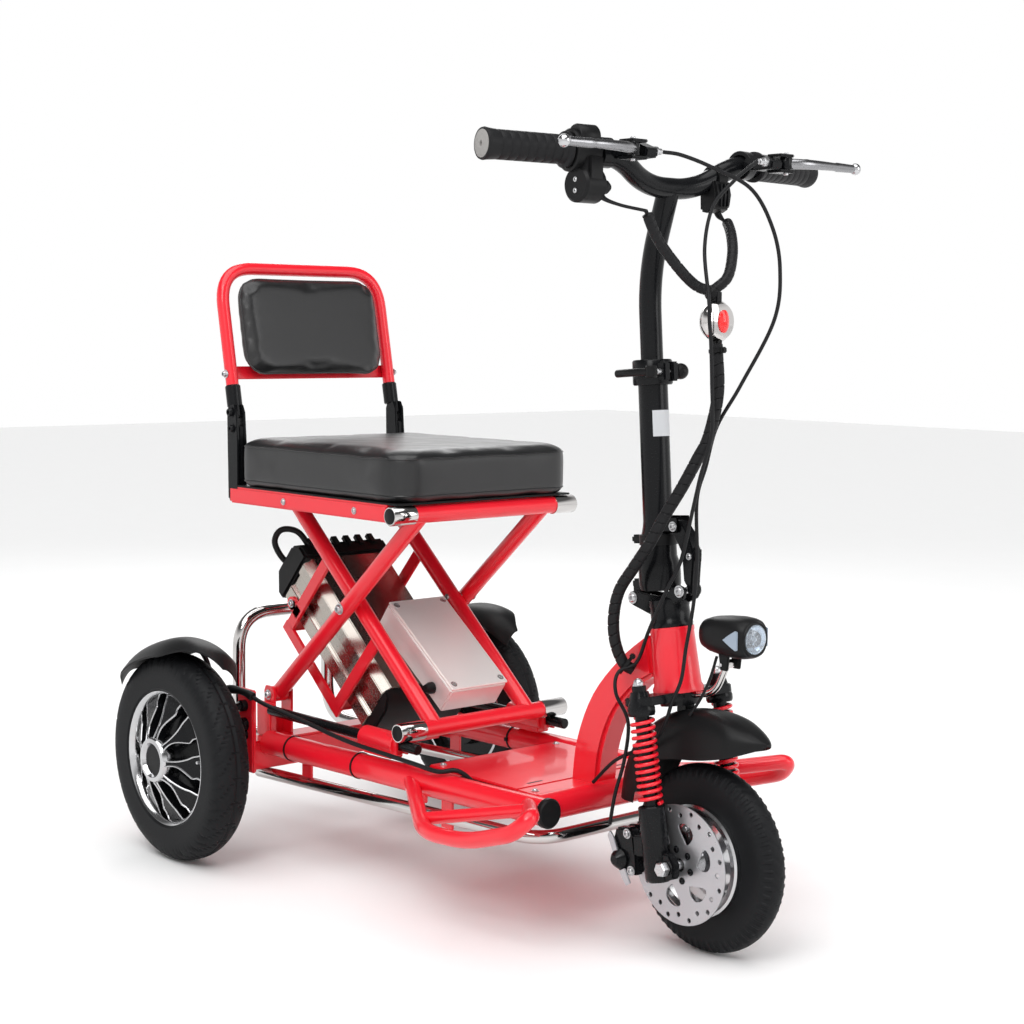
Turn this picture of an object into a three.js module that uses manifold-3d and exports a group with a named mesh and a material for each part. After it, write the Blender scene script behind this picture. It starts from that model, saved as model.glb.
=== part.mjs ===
// A folding three-wheeled mobility scooter, in millimetres.
// +X is forward, +Y is the rider's left and +Z is up. The origin is on the ground, under the middle of the box.
import * as THREE from "three";
import { mergeVertices } from "three/addons/utils/BufferGeometryUtils.js";
import Module from "manifold-3d";

const wasm = await Module();
wasm.setup();

// ---------- driving dimensions ----------
const GAP = 0.3; // clearance between touching pieces
const CLEAR = 0.6; // running clearance round a shaft

const REAR_AXLE = { x: -400, z: 161.5 };
const REAR_TRACK = 297.5; // from the middle plane to the middle of a rear wheel
const REAR_RADIUS = 161.5;
const REAR_HALF_WIDTH = 38.4;
const REAR_BEAD = 108;
const FRONT_AXLE = { x: 434.5, z: 127 };
const FRONT_RADIUS = 127;
const FRONT_HALF_WIDTH = 24.6;
const FRONT_BEAD = 75.6;

const MAIN_TUBE = 19; // radius of the two side tubes and of the front cross tube
const LIFT_TUBE = 12.7; // radius of the scissor legs and their bars
const LEG_OUT = 120; // the outer legs, from the middle plane
const LEG_IN = 92; // the inner legs, from the middle plane
const LIFT_PIVOT = new THREE.Vector3(-390, 0, 240); // the outer legs turn here, on the rear beam
const LIFT_TOP = new THREE.Vector3(-27, 0, 557); // the upper bar, in front of the seat rails
const LIFT_CROSS = LIFT_PIVOT.clone().lerp(LIFT_TOP, 0.5);
const LIFT_FOOT = new THREE.Vector3(LIFT_TOP.x, 0, LIFT_PIVOT.z); // the lower bar, on the sliders
const LIFT_ANGLE = Math.atan2(LIFT_TOP.z - LIFT_PIVOT.z, LIFT_TOP.x - LIFT_PIVOT.x);
const ROLLER = new THREE.Vector3(LIFT_PIVOT.x, 0, LIFT_TOP.z); // the inner legs carry the seat's rear here
const SEAT_HALF_WIDTH = 181;
const SEAT_RAIL = 160; // the seat rails, from the middle plane

const WHEEL_SIDES = 28; // facets round each wheel

const RAKE = (9.7 * Math.PI) / 180; // of the steering axis
const STEER_BASE = new THREE.Vector3(374.6, 0, 347); // the steering axis at the foot of the head tube
const HEAD_LENGTH = 81;
const FORK_HALF_WIDTH = 76;
const FORK_AHEAD = 2; // the fork legs, ahead of the steering axis
const FOLD_PIVOT = new THREE.Vector3(303, 0, 463); // the stem folds back about this pin
const LATCH_PIN = new THREE.Vector3(389, 0, 481); // the latch hooks over this pin
const LATCH_PIVOT = new THREE.Vector3(372, 0, 566);
const STEM_FOOT = new THREE.Vector3(338, 0, 479);
const STEM_LEAN = (4.2 * Math.PI) / 180;
const STEM_RADIUS = 20;
const STEM_LENGTH = 291;
const UPPER_STEM_RADIUS = 15.2;
const BAR_RADIUS = 14;
const BAR_HEIGHT = 1012;

// ---------- colours ----------
const RED = { color: 0xe0202c, roughness: 0.3, metalness: 0.1 };
const BLACK = { color: 0x101113, roughness: 0.4, metalness: 0.1 };
const RUBBER = { color: 0x17181a, roughness: 0.85, metalness: 0 };
const LEATHER = { color: 0x0c0c0d, roughness: 0.45, metalness: 0 };
const CHROME = { color: 0xd8dadd, roughness: 0.1, metalness: 1 };
const ALUMINIUM = { color: 0xb9bcc0, roughness: 0.35, metalness: 1 };
const CLEAR_LENS = { color: 0xe8eef5, roughness: 0.05, metalness: 0 };
const ORANGE = { color: 0xe8641e, roughness: 0.4, metalness: 0 };

const scooter = new THREE.Group();

function add(name, geometry, look, parent = scooter) {
  const mesh = new THREE.Mesh(geometry, new THREE.MeshStandardMaterial(look));
  mesh.name = name;
  parent.add(mesh);
  return mesh;
}

function groupAt(position, pitch, parent = scooter) {
  const group = new THREE.Group();
  group.position.copy(position);
  group.rotation.y = pitch;
  parent.add(group);
  return group;
}

// ---------- geometry helpers ----------
const v3 = (x, y, z) => new THREE.Vector3(x, y, z);

function toSolid(geometry) {
  const bare = geometry.index ? geometry.toNonIndexed() : geometry.clone();
  bare.deleteAttribute("normal");
  bare.deleteAttribute("uv");
  const merged = mergeVertices(bare, 1e-4);
  return new wasm.Manifold(
    new wasm.Mesh({
      numProp: 3,
      vertProperties: merged.attributes.position.array,
      triVerts: new Uint32Array(merged.index.array),
    }),
  );
}

function toGeometry(solid) {
  const mesh = solid.getMesh();
  const geometry = new THREE.BufferGeometry();
  geometry.setAttribute("position", new THREE.BufferAttribute(mesh.vertProperties, 3));
  geometry.setIndex(new THREE.BufferAttribute(mesh.triVerts, 1));
  geometry.computeVertexNormals();
  return geometry;
}

const join = (...parts) =>
  toGeometry(parts.map(toSolid).reduce((whole, part) => whole.add(part)));

const cut = (body, ...tools) =>
  toGeometry(tools.map(toSolid).reduce((left, tool) => left.subtract(tool), toSolid(body)));


// A route through given points, without smoothing: a tube bends only where it has points.
class Route extends THREE.Curve {
  constructor(points) {
    super();
    this.points = points;
  }
  getPointAt(u) {
    return this.points[Math.round(u * (this.points.length - 1))].clone();
  }
  getTangentAt(u) {
    const last = this.points.length - 1;
    const i = Math.round(u * last);
    const tangent = v3(0, 0, 0);
    if (i > 0) tangent.add(this.points[i].clone().sub(this.points[i - 1]).normalize());
    if (i < last) tangent.add(this.points[i + 1].clone().sub(this.points[i]).normalize());
    return tangent.normalize();
  }
}

// The corners of a polyline, rounded over the given length on each side.
function rounded(corners, reach, steps = 5) {
  const points = [corners[0]];
  for (let i = 1; i < corners.length - 1; i++) {
    const back = corners[i - 1].clone().sub(corners[i]);
    const ahead = corners[i + 1].clone().sub(corners[i]);
    const r = Math.min(reach, back.length() * 0.48, ahead.length() * 0.48);
    const arc = new THREE.QuadraticBezierCurve3(
      corners[i].clone().addScaledVector(back.normalize(), r),
      corners[i],
      corners[i].clone().addScaledVector(ahead.normalize(), r),
    );
    points.push(...arc.getPoints(steps));
  }
  points.push(corners[corners.length - 1]);
  return points;
}

function circle(radius, sides) {
  const shape = new THREE.Shape();
  for (let i = 0; i < sides; i++) {
    const turn = ((i + 0.5) / sides) * 2 * Math.PI;
    const [x, y] = [radius * Math.cos(turn), radius * Math.sin(turn)];
    if (i) shape.lineTo(x, y);
    else shape.moveTo(x, y);
  }
  shape.closePath();
  return shape;
}

function tube(points, radius, sides = 8) {
  return new THREE.ExtrudeGeometry(circle(radius, sides), {
    steps: points.length - 1,
    extrudePath: new Route(points),
    curveSegments: 1,
  });
}

const bar = (from, to, radius, sides = 8) => tube([from, to], radius, sides);

function smoothTube(corners, radius, sides, steps) {
  const curve = new THREE.CatmullRomCurve3(corners, false, "centripetal");
  return tube(curve.getSpacedPoints(steps), radius, sides);
}

function box(low, high) {
  const size = high.clone().sub(low);
  const middle = low.clone().add(high).multiplyScalar(0.5);
  return new THREE.BoxGeometry(size.x, size.y, size.z).translate(middle.x, middle.y, middle.z);
}

// An outline in the XZ plane, as a plate between two values of y.
function plate(outline, y0, y1) {
  const shape = new THREE.Shape(outline.map(([x, z]) => new THREE.Vector2(x, z)));
  return new THREE.ExtrudeGeometry(shape, { depth: y1 - y0, bevelEnabled: false })
    .rotateX(Math.PI / 2)
    .translate(0, y1, 0);
}

// A profile of [radius, y] turned about the Y axis, with a flat facet at the bottom.
function turned(profile, sides = WHEEL_SIDES) {
  const grow = 1 / Math.cos(Math.PI / sides);
  const points = profile.map(([r, y]) => new THREE.Vector2(r * grow, y));
  return new THREE.LatheGeometry(points, sides).rotateY(Math.PI / sides);
}

const closed = (profile) => [...profile, profile[0]];
const mirrored = (profile) => profile.map(([r, y]) => [r, -y]).reverse();
const sides = [
  { name: "right", y: -1 },
  { name: "left", y: 1 },
];
const flip = (geometry, y) => (y < 0 ? geometry : toGeometry(toSolid(geometry).mirror([0, 1, 0])));

// ---------- main frame ----------
const TUBE_REAR = v3(-357, -160, 171);
const TUBE_FRONT = v3(281, -147, 180);
const CROSS_X = 250;
const DECK = { rear: 0, front: 192, half: 126, low: 190, high: 194 };
const BEAM = { rear: -404, front: -358, low: 129, high: 175, half: 196 };
const BRACKET_IN = [LEG_OUT - LIFT_TUBE - 6, LEG_OUT - LIFT_TUBE - 1.5];
const BRACKET_OUT = [LEG_OUT + LIFT_TUBE + 1.5, LEG_OUT + LIFT_TUBE + 6];
const MOTOR_PLATE = [226, 234];
const EAR = { near: 198, far: 206, rear: -378, front: -336, low: 131, high: 262 };

for (const { name, y } of sides) {
  add("side_tube_" + name, flip(bar(TUBE_REAR, TUBE_FRONT, MAIN_TUBE, 12), y), RED);
}
add(
  "front_cross_tube",
  cut(
    bar(v3(CROSS_X, -140, 180), v3(CROSS_X, 140, 180), MAIN_TUBE, 12),
    ...sides.map(({ y }) => flip(bar(TUBE_REAR, TUBE_FRONT, MAIN_TUBE + GAP, 12), y)),
    ...sides.map(({ y }) => flip(box(v3(200, -170, 140), v3(300, -136, 220)), y)),
  ),
  RED,
);

function rearBeam() {
  const parts = [box(v3(BEAM.rear, -BEAM.half, BEAM.low), v3(BEAM.front, BEAM.half, BEAM.high))];
  const { x, z } = REAR_AXLE;
  const plateOutline = [
    [x - 34, z - 30],
    [x + 40, z - 30],
    [x + 40, z + 46],
    [x + 22, z + 76],
    [x - 22, z + 76],
    [x - 34, z + 46],
  ];
  const bracketOutline = [
    [LIFT_PIVOT.x - 13, BEAM.high - 5],
    [LIFT_PIVOT.x + 15, BEAM.high - 5],
    [LIFT_PIVOT.x + 15, LIFT_PIVOT.z + 8],
    [LIFT_PIVOT.x + 8, LIFT_PIVOT.z + 14],
    [LIFT_PIVOT.x - 8, LIFT_PIVOT.z + 14],
    [LIFT_PIVOT.x - 13, LIFT_PIVOT.z + 8],
  ];
  for (const side of [-1, 1]) {
    parts.push(bar(v3(x, side * 180, z), v3(x, side * 338, z), 8, 12));
    parts.push(box(v3(x - 22, -8, z - 28).setY(side > 0 ? 190 : -230), v3(x + 38, side > 0 ? 230 : -190, z + 10)));
    for (const [near, far] of [BRACKET_IN, BRACKET_OUT]) {
      const low = side > 0 ? near : -far;
      parts.push(plate(bracketOutline, low, low + far - near));
    }
    const earLow = side > 0 ? EAR.near : -EAR.far;
    const earHigh = side > 0 ? EAR.far : -EAR.near;
    parts.push(box(v3(EAR.rear, earLow, EAR.low), v3(EAR.front, earHigh, EAR.high)));
    const low = side > 0 ? MOTOR_PLATE[0] : -MOTOR_PLATE[1];
    parts.push(plate(plateOutline, low, low + MOTOR_PLATE[1] - MOTOR_PLATE[0]));
    parts.push(
      bar(
        v3(LIFT_PIVOT.x, side * (BRACKET_IN[0] - 2), LIFT_PIVOT.z),
        v3(LIFT_PIVOT.x, side * (BRACKET_OUT[1] + 3), LIFT_PIVOT.z),
        5,
        10,
      ),
    );
  }
  return join(...parts);
}
add("rear_beam", rearBeam(), RED);

const NECK_TOP = v3(331, 0, 384);
const steerDirection = v3(-Math.sin(RAKE), 0, Math.cos(RAKE));
const alongSteer = (s) => STEER_BASE.clone().addScaledVector(steerDirection, s);

// A tapered round body on the steering axis, from s0 to s1 along it.
function taper(s0, s1, r0, r1, count) {
  const body = new THREE.CylinderGeometry(r1, r0, s1 - s0, count).rotateX(Math.PI / 2);
  const place = new THREE.Matrix4().makeRotationY(-RAKE).setPosition(alongSteer((s0 + s1) / 2));
  return body.applyMatrix4(place);
}

// The neck stands on its own foot plate, ahead of the deck, and carries the head tube.
function gooseneck() {
  const line = smoothTube(
    [v3(213, 0, 180), v3(216, 0, 220), v3(228, 0, 262), v3(255, 0, 312), v3(296, 0, 358), NECK_TOP],
    MAIN_TUBE,
    12,
    9,
  );
  const socket = bar(v3(CROSS_X, -60, 180), v3(CROSS_X, 60, 180), MAIN_TUBE + GAP, 12);
  const below = box(v3(150, -60, 100), v3(300, 60, DECK.low + 1));
  const footFront = CROSS_X - MAIN_TUBE - GAP;
  const foot = box(v3(DECK.front + GAP, -DECK.half, DECK.low - 1), v3(footFront, DECK.half, DECK.high - 1));
  const head = taper(0, HEAD_LENGTH, 31.5, 29, 14);
  return cut(join(cut(line, socket, below), foot, head), taper(-9, HEAD_LENGTH + 9, 15.5, 15.5, 12));
}
add("gooseneck", gooseneck(), RED);

function deckPlate() {
  const sheet = box(v3(DECK.rear, -DECK.half, DECK.low), v3(DECK.front, DECK.half, DECK.high));
  const lip = box(v3(DECK.rear, -DECK.half, DECK.low - 22), v3(DECK.rear + 4, DECK.half, DECK.high));
  return join(sheet, lip);
}
add("deck_plate", deckPlate(), RED);

// Each foot loop leaves its side tube, runs out and forward, and returns near the front cap.
const LOOP_RADIUS = 11;
const LOOP_CORNERS = [
  v3(-14, -150, 179),
  v3(158, -264, 150),
  v3(250, -266, 156),
  v3(338, -264, 184),
  v3(360, -252, 208),
  v3(240, -148, 184),
];
const tubeCutter = () => bar(TUBE_REAR, TUBE_FRONT.clone().add(v3(20, 0, 0)), MAIN_TUBE + GAP, 12);
function footLoop() {
  const rim = tube(rounded(LOOP_CORNERS, 26, 2), LOOP_RADIUS, 8);
  const brace = bar(v3(120, -239, 156), v3(292, -194, 195), 9, 8);
  return cut(join(rim, brace), tubeCutter());
}
for (const { name, y } of sides) add("foot_loop_" + name, flip(footLoop(), y), RED);

// The chrome rail runs back to front under the frame and crosses ahead of the deck.
const RAIL = { half: 150, rear: -400, low: 116, front: 264, high: 141, radius: 9.5 };
function underRail() {
  const { half, rear, low, front, high, radius } = RAIL;
  const line = rounded([v3(rear, -half, low), v3(front, -half, high), v3(front, half, high), v3(rear, half, low)], 50, 6);
  const hangers = [];
  for (const side of [-1, 1]) {
    for (const x of [-280, 60]) {
      hangers.push(box(v3(x, side * half - 2, low), v3(x + 24, side * half + 2, 168)));
    }
  }
  return cut(join(tube(line, radius, 8), ...hangers), ...sides.map(({ y }) => flip(tubeCutter(), y)));
}
add("under_rail", underRail(), CHROME);

const HOOP_HALF = 91;
const HOOP_REAR = -546;
add(
  "carry_hoop",
  tube(
    rounded(
      [
        v3(BEAM.rear - GAP, -HOOP_HALF, 152),
        v3(HOOP_REAR, -HOOP_HALF, 152),
        v3(HOOP_REAR, -HOOP_HALF, 348),
        v3(HOOP_REAR, HOOP_HALF, 348),
        v3(HOOP_REAR, HOOP_HALF, 152),
        v3(BEAM.rear - GAP, HOOP_HALF, 152),
      ],
      48,
      4,
    ),
    11,
    10,
  ),
  CHROME,
);

// The rods that the sliders run on stand on the rear beam and reach forward.
const ROD = { y: 146, z: 218, radius: 8, rear: -374, front: 0 };
function slideRod() {
  const rod = bar(v3(ROD.rear, -ROD.y, ROD.z), v3(ROD.front, -ROD.y, ROD.z), ROD.radius, 8);
  const post = box(v3(BEAM.rear, -ROD.y - 6.5, BEAM.high + GAP), v3(ROD.rear + 8, -ROD.y + 6.5, ROD.z + 10));
  return cut(join(rod, post), tubeCutter());
}
for (const { name, y } of sides) add("slide_rod_" + name, flip(slideRod(), y), BLACK);

// ---------- fenders ----------
// A curved guard: the ring between two turned shapes, kept between two angles seen from the right.
const degrees = (a) => (a * Math.PI) / 180;

// The top line of a rear guard, from its back edge to its front edge.
const FENDER_LINE = [
  [-526, 284],
  [-478, 322],
  [-404, 347],
  [-350, 350],
  [-308, 339],
  [-280, 318],
];
function fenderBand(depth, inner, outer) {
  const top = new THREE.SplineCurve(FENDER_LINE.map(([x, z]) => new THREE.Vector2(x, z))).getPoints(12);
  const low = top.map((p) => new THREE.Vector2(p.x, p.y - depth)).reverse();
  return plate([...top, ...low].map((p) => [p.x, p.y]), -outer, -inner);
}
function rearFender() {
  const { z } = REAR_AXLE;
  const top = fenderBand(3.5, 256, 343);
  const skirt = fenderBand(17, 339, 343);
  const front = plate([[-280, 318], [-284, 321], [-293, 295], [-290, 293]], -343, -256);
  const foot = box(v3(-418, -MOTOR_PLATE[1] - 7, z + 44), v3(-392, -MOTOR_PLATE[1] - GAP, z + 72));
  const stay = bar(v3(-405, -MOTOR_PLATE[1] - 4, z + 60), v3(-405, -262, z + 184), 4, 8);
  return join(top, skirt, front, foot, stay);
}
for (const { name, y } of sides) add("rear_fender_" + name, flip(rearFender(), y), BLACK);

// ---------- rear wheels ----------
function tyreProfile(bead, radius, half) {
  return closed([
    [bead, -half * 0.78],
    [bead + (radius - bead) * 0.45, -half],
    [bead + (radius - bead) * 0.82, -half * 0.86],
    [radius, -half * 0.3],
    [radius, half * 0.3],
    [bead + (radius - bead) * 0.82, half * 0.86],
    [bead + (radius - bead) * 0.45, half],
    [bead, half * 0.78],
  ]);
}
// Radius and distance towards the outside of the wheel, from its middle plane.
const REAR_HUB = closed([
  [9, -34],
  [60, -34],
  [62, -10],
  [96, -10],
  [99, -26],
  [REAR_BEAD - GAP, -26],
  [REAR_BEAD - GAP, 26],
  [97, 18],
  [34, 47],
  [31, 52],
  [9, 52],
]);
for (const { name, y } of sides) {
  const wheel = groupAt(v3(REAR_AXLE.x, y * REAR_TRACK, REAR_AXLE.z), 0);
  add("rear_tyre_" + name, turned(tyreProfile(REAR_BEAD, REAR_RADIUS, REAR_HALF_WIDTH)), RUBBER, wheel);
  add("rear_hub_" + name, turned(y > 0 ? REAR_HUB : mirrored(REAR_HUB)), ALUMINIUM, wheel);
}

// ---------- scissor lift ----------
const atY = (point, y) => v3(point.x, y, point.z);

const SLEEVE = [137, 181]; // the polished ends of the upper bar
const SLEEVE_RADIUS = 14;
const FOOT_SLEEVE = [117, 165];
function outerLift() {
  const parts = [bar(atY(LIFT_TOP, -SLEEVE[0]), atY(LIFT_TOP, SLEEVE[0]), LIFT_TUBE, 12)];
  for (const side of [-1, 1]) {
    const y = side * LEG_OUT;
    parts.push(bar(atY(LIFT_TOP, side * (SLEEVE[0] - 1)), atY(LIFT_TOP, side * SLEEVE[1]), SLEEVE_RADIUS, 12));
    parts.push(bar(atY(LIFT_PIVOT, y), atY(LIFT_TOP, y), LIFT_TUBE, 8));
    parts.push(bar(atY(LIFT_PIVOT, y - LIFT_TUBE), atY(LIFT_PIVOT, y + LIFT_TUBE), LIFT_TUBE, 8));
    const inner = atY(LIFT_CROSS, side * (LEG_IN - LIFT_TUBE - 3));
    parts.push(bar(inner, atY(LIFT_CROSS, side * (LEG_OUT + LIFT_TUBE + 9)), 5, 8));
  }
  const bores = [-1, 1].map((side) =>
    bar(atY(LIFT_PIVOT, side * 100), atY(LIFT_PIVOT, side * 140), 5 + CLEAR, 8),
  );
  return cut(join(...parts), ...bores);
}
add("outer_lift_frame", outerLift(), RED);

// Places along and across the inner legs: b runs down the leg from the crossing, n stands up from it.
const legDown = v3(Math.cos(LIFT_ANGLE), 0, -Math.sin(LIFT_ANGLE));
const legUp = v3(Math.sin(LIFT_ANGLE), 0, Math.cos(LIFT_ANGLE));
const onLeg = (b, y, n) => atY(LIFT_CROSS, y).addScaledVector(legDown, b).addScaledVector(legUp, n);
const CRADLE_DEPTH = 162;
const BATTERY = { top: -156, foot: 140, near: -58, far: -154, half: 84 };

// A box turned with the inner legs.
function legBox(b0, b1, y0, y1, n0, n1) {
  const body = new THREE.BoxGeometry(b1 - b0, y1 - y0, n1 - n0);
  const place = new THREE.Matrix4()
    .makeRotationY(LIFT_ANGLE)
    .setPosition(onLeg((b0 + b1) / 2, (y0 + y1) / 2, (n0 + n1) / 2));
  return body.applyMatrix4(place);
}

function innerLift() {
  const parts = [bar(atY(LIFT_FOOT, -118), atY(LIFT_FOOT, 118), LIFT_TUBE, 12)];
  parts.push(bar(atY(ROLLER, -147), atY(ROLLER, 147), 8, 12));
  for (const side of [-1, 1]) {
    const y = side * LEG_IN;
    parts.push(
      bar(atY(LIFT_FOOT, side * FOOT_SLEEVE[0]), atY(LIFT_FOOT, side * FOOT_SLEEVE[1]), SLEEVE_RADIUS, 12),
    );
    parts.push(bar(atY(LIFT_FOOT, y), atY(ROLLER, y), LIFT_TUBE, 8));
    for (const b of [-106, 62]) {
      parts.push(legBox(b - 12, b + 12, y - 3, y + 3, -CRADLE_DEPTH, 4));
    }
    parts.push(legBox(-118, 74, y - 3, y + 3, -CRADLE_DEPTH - 16, -CRADLE_DEPTH + 4));
  }
  for (const b of [-106, 62]) parts.push(legBox(b - 10, b + 10, -LEG_IN, LEG_IN, -CRADLE_DEPTH - 4, -CRADLE_DEPTH));
  const bores = [-1, 1].map((side) =>
    bar(atY(LIFT_CROSS, side * 70), atY(LIFT_CROSS, side * (LEG_IN + 20)), 5 + CLEAR, 8),
  );
  return cut(join(...parts), ...bores);
}
add("inner_lift_frame", innerLift(), RED);

add(
  "battery_case",
  legBox(BATTERY.top, BATTERY.foot, -BATTERY.half, BATTERY.half, BATTERY.far, BATTERY.near),
  ALUMINIUM,
);
function batteryCap() {
  const head = legBox(BATTERY.top - 42, BATTERY.top - GAP, -86, 86, BATTERY.far - 2, BATTERY.near + 4);
  const handle = smoothTube(
    [
      onLeg(BATTERY.top - 20, -60, -110),
      onLeg(BATTERY.top - 42, -84, -104),
      onLeg(BATTERY.top - 66, -96, -88),
      onLeg(BATTERY.top - 72, -90, -66),
      onLeg(BATTERY.top - 52, -74, -52),
      onLeg(BATTERY.top - 20, -56, -66),
    ],
    5,
    8,
    14,
  );
  return join(head, handle);
}
add("battery_cap", batteryCap(), BLACK);

const CONTROLLER = { top: 14, foot: 206, half: 55, low: -20, high: 28, tilt: (4.5 * Math.PI) / 180 };
function controllerCase() {
  const { top, foot, half, low, high, tilt } = CONTROLLER;
  const body = new THREE.BoxGeometry(foot - top, 2 * half, high - low);
  const place = new THREE.Matrix4()
    .makeRotationY(LIFT_ANGLE - tilt)
    .setPosition(onLeg((top + foot) / 2, 0, (low + high) / 2));
  return body.applyMatrix4(place);
}
add("controller_case", controllerCase(), ALUMINIUM);

const SLIDER = { rear: -125, front: -45, inner: 134, outer: 158 };
function slider() {
  const { rear, front, inner, outer } = SLIDER;
  const barrel = bar(v3(rear, -ROD.y, ROD.z), v3(front, -ROD.y, ROD.z), 17, 12);
  const foot = box(v3(rear + 8, -outer, 197), v3(front - 5, -inner, 210));
  const saddle = box(v3(front - 15, -outer, 206), v3(LIFT_FOOT.x - 3, -inner, 236));
  const seatCut = bar(atY(LIFT_FOOT, -200), atY(LIFT_FOOT, -100), SLEEVE_RADIUS + CLEAR, 12);
  return cut(join(barrel, foot, saddle), seatCut, box(v3(rear - 5, -inner, 190), v3(front + 40, -100, 250)));
}
for (const { name, y } of sides) {
  const hole = bar(v3(-200, -ROD.y, ROD.z), v3(80, -ROD.y, ROD.z), ROD.radius + CLEAR, 8);
  add("slider_" + name, flip(cut(slider(), hole), y), RED);
}

// ---------- seat ----------
// In the seat's own frame x runs forward along the rails from the upper bar.
const seat = groupAt(LIFT_TOP, 0);
const RAIL_LOW = -11;
const RAIL_TOP = 14.7;
const SEAT_BACK = -423;
const HINGE = v3(-421, 0, 133); // the backrest turns here
function seatFrame() {
  const front = -SLEEVE_RADIUS - 1.5;
  const parts = [];
  for (const side of [-1, 1]) {
    const y = side * SEAT_RAIL;
    parts.push(box(v3(SEAT_BACK, y - 12, RAIL_LOW), v3(front, y + 12, RAIL_TOP)));
    parts.push(box(v3(-430, y - 9, RAIL_LOW), v3(-403, y + 9, HINGE.z + 10)));
  }
  parts.push(box(v3(front - 24, -SEAT_RAIL, RAIL_TOP - 4.5), v3(front, SEAT_RAIL, RAIL_TOP)));
  parts.push(box(v3(SEAT_BACK + 6, -SEAT_RAIL - 10, RAIL_TOP), v3(6, SEAT_RAIL + 10, RAIL_TOP + 3)));
  const slots = [-1, 1].map((side) =>
    box(v3(-440, side * SEAT_RAIL - 4.6, HINGE.z - 18), v3(-400, side * SEAT_RAIL + 4.6, HINGE.z + 20)),
  );
  const pins = [-1, 1].map((side) =>
    bar(v3(HINGE.x, side * SEAT_RAIL - 10, HINGE.z), v3(HINGE.x, side * SEAT_RAIL + 10, HINGE.z), 4, 8),
  );
  return join(cut(join(...parts), ...slots), ...pins);
}
add("seat_frame", seatFrame(), RED, seat);

const CUSHION = { back: -398, front: 22, low: RAIL_TOP + 3 + GAP, high: 93, corner: 45 };
function cushion() {
  const { back, front, low, high, corner } = CUSHION;
  const half = SEAT_HALF_WIDTH;
  const shape = new THREE.Shape();
  shape.moveTo(back + 20, -half);
  shape.lineTo(front - corner, -half);
  shape.quadraticCurveTo(front, -half, front, -half + corner);
  shape.lineTo(front, half - corner);
  shape.quadraticCurveTo(front, half, front - corner, half);
  shape.lineTo(back + 20, half);
  shape.quadraticCurveTo(back, half, back, half - 20);
  shape.lineTo(back, -half + 20);
  shape.quadraticCurveTo(back, -half, back + 20, -half);
  const block = new THREE.ExtrudeGeometry(shape, {
    depth: high - low - 16,
    bevelThickness: 8,
    bevelSize: 8,
    bevelOffset: -8,
    bevelSegments: 2,
    curveSegments: 5,
  });
  return block.translate(0, 0, low + 8);
}
add("seat_cushion", cushion(), LEATHER, seat);

// ---------- backrest ----------
// In the backrest's own frame z runs up its posts from the hinge.
const REST_LEAN = degrees(11.3);
const backrest = groupAt(HINGE, -REST_LEAN, seat);
const POST = 158;
function backrestFrame() {
  const hoop = tube(
    rounded([v3(-4, -POST, 26), v3(-4, -POST, 234), v3(-4, POST, 234), v3(-4, POST, 26)], 58, 6),
    10,
    12,
  );
  const strap = box(v3(-18, -POST, 54), v3(-12, POST, 76));
  const parts = [hoop, strap];
  for (const side of [-1, 1]) {
    const y = side * SEAT_RAIL;
    parts.push(box(v3(-13, y - 4, -8), v3(8, y + 4, 34)));
  }
  const holes = [-1, 1].map((side) => bar(v3(0, side * 150, 0), v3(0, side * 170, 0), 4 + CLEAR, 8));
  return cut(join(...parts), ...holes);
}
add("backrest_frame", backrestFrame(), RED, backrest);

function backrestPad() {
  const shape = new THREE.Shape();
  const [half, low, high, corner] = [138, 57, 216, 40];
  shape.moveTo(low + corner, -half);
  shape.lineTo(high - corner, -half);
  shape.quadraticCurveTo(high, -half, high, -half + corner);
  shape.lineTo(high, half - corner);
  shape.quadraticCurveTo(high, half, high - corner, half);
  shape.lineTo(low + corner, half);
  shape.quadraticCurveTo(low, half, low, half - corner);
  shape.lineTo(low, -half + corner);
  shape.quadraticCurveTo(low, -half, low + corner, -half);
  return new THREE.ExtrudeGeometry(shape, {
    depth: 20,
    bevelThickness: 7,
    bevelSize: 7,
    bevelOffset: -2,
    bevelSegments: 2,
    curveSegments: 5,
  })
    .rotateX(Math.PI)
    .rotateY(-Math.PI / 2)
    .translate(-4.2, 0, 0);
}
add("backrest_pad", backrestPad(), LEATHER, backrest);
// ---------- front fork ----------
// In the fork's own frame z runs up the steering axis from the foot of the head tube.
const fork = groupAt(STEER_BASE, -RAKE);
const LEG_X = FORK_AHEAD;
const SPRING = { low: -146, high: -28, outer: 16.5, inner: 10.8 };
const STANCHION = 10;
const LOWER_LEG = 18;

function forkCrown() {
  const parts = [bar(v3(0, 0, -12), v3(0, 0, HEAD_LENGTH - 2), 14.8, 12)];
  parts.push(box(v3(-24, -FORK_HALF_WIDTH - 12, -15), v3(LEG_X + 22, FORK_HALF_WIDTH + 12, -3)));
  for (const side of [-1, 1]) {
    const y = side * FORK_HALF_WIDTH;
    parts.push(bar(v3(LEG_X, y, SPRING.low - 16), v3(LEG_X, y, 8), STANCHION, 8));
    parts.push(bar(v3(LEG_X, y, SPRING.high + GAP), v3(LEG_X, y, -8), 17, 12));
    parts.push(bar(v3(LEG_X, y - 7, 12), v3(LEG_X, y + 7, 12), 9, 12));
  }
  parts.push(tube(rounded([v3(14, 0, -9), v3(66, 0, -9), LAMP_PIVOT], 20, 4), 5, 8));
  parts.push(bar(atY(LAMP_PIVOT, -9), atY(LAMP_PIVOT, 9), 6, 12));
  parts.push(bar(atY(LAMP_PIVOT, -15), atY(LAMP_PIVOT, 15), 2.2, 8));
  return join(...parts);
}
const LAMP_PIVOT = v3(93.7, 0, 29.7);
add("fork_crown", forkCrown(), BLACK, fork);

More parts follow.
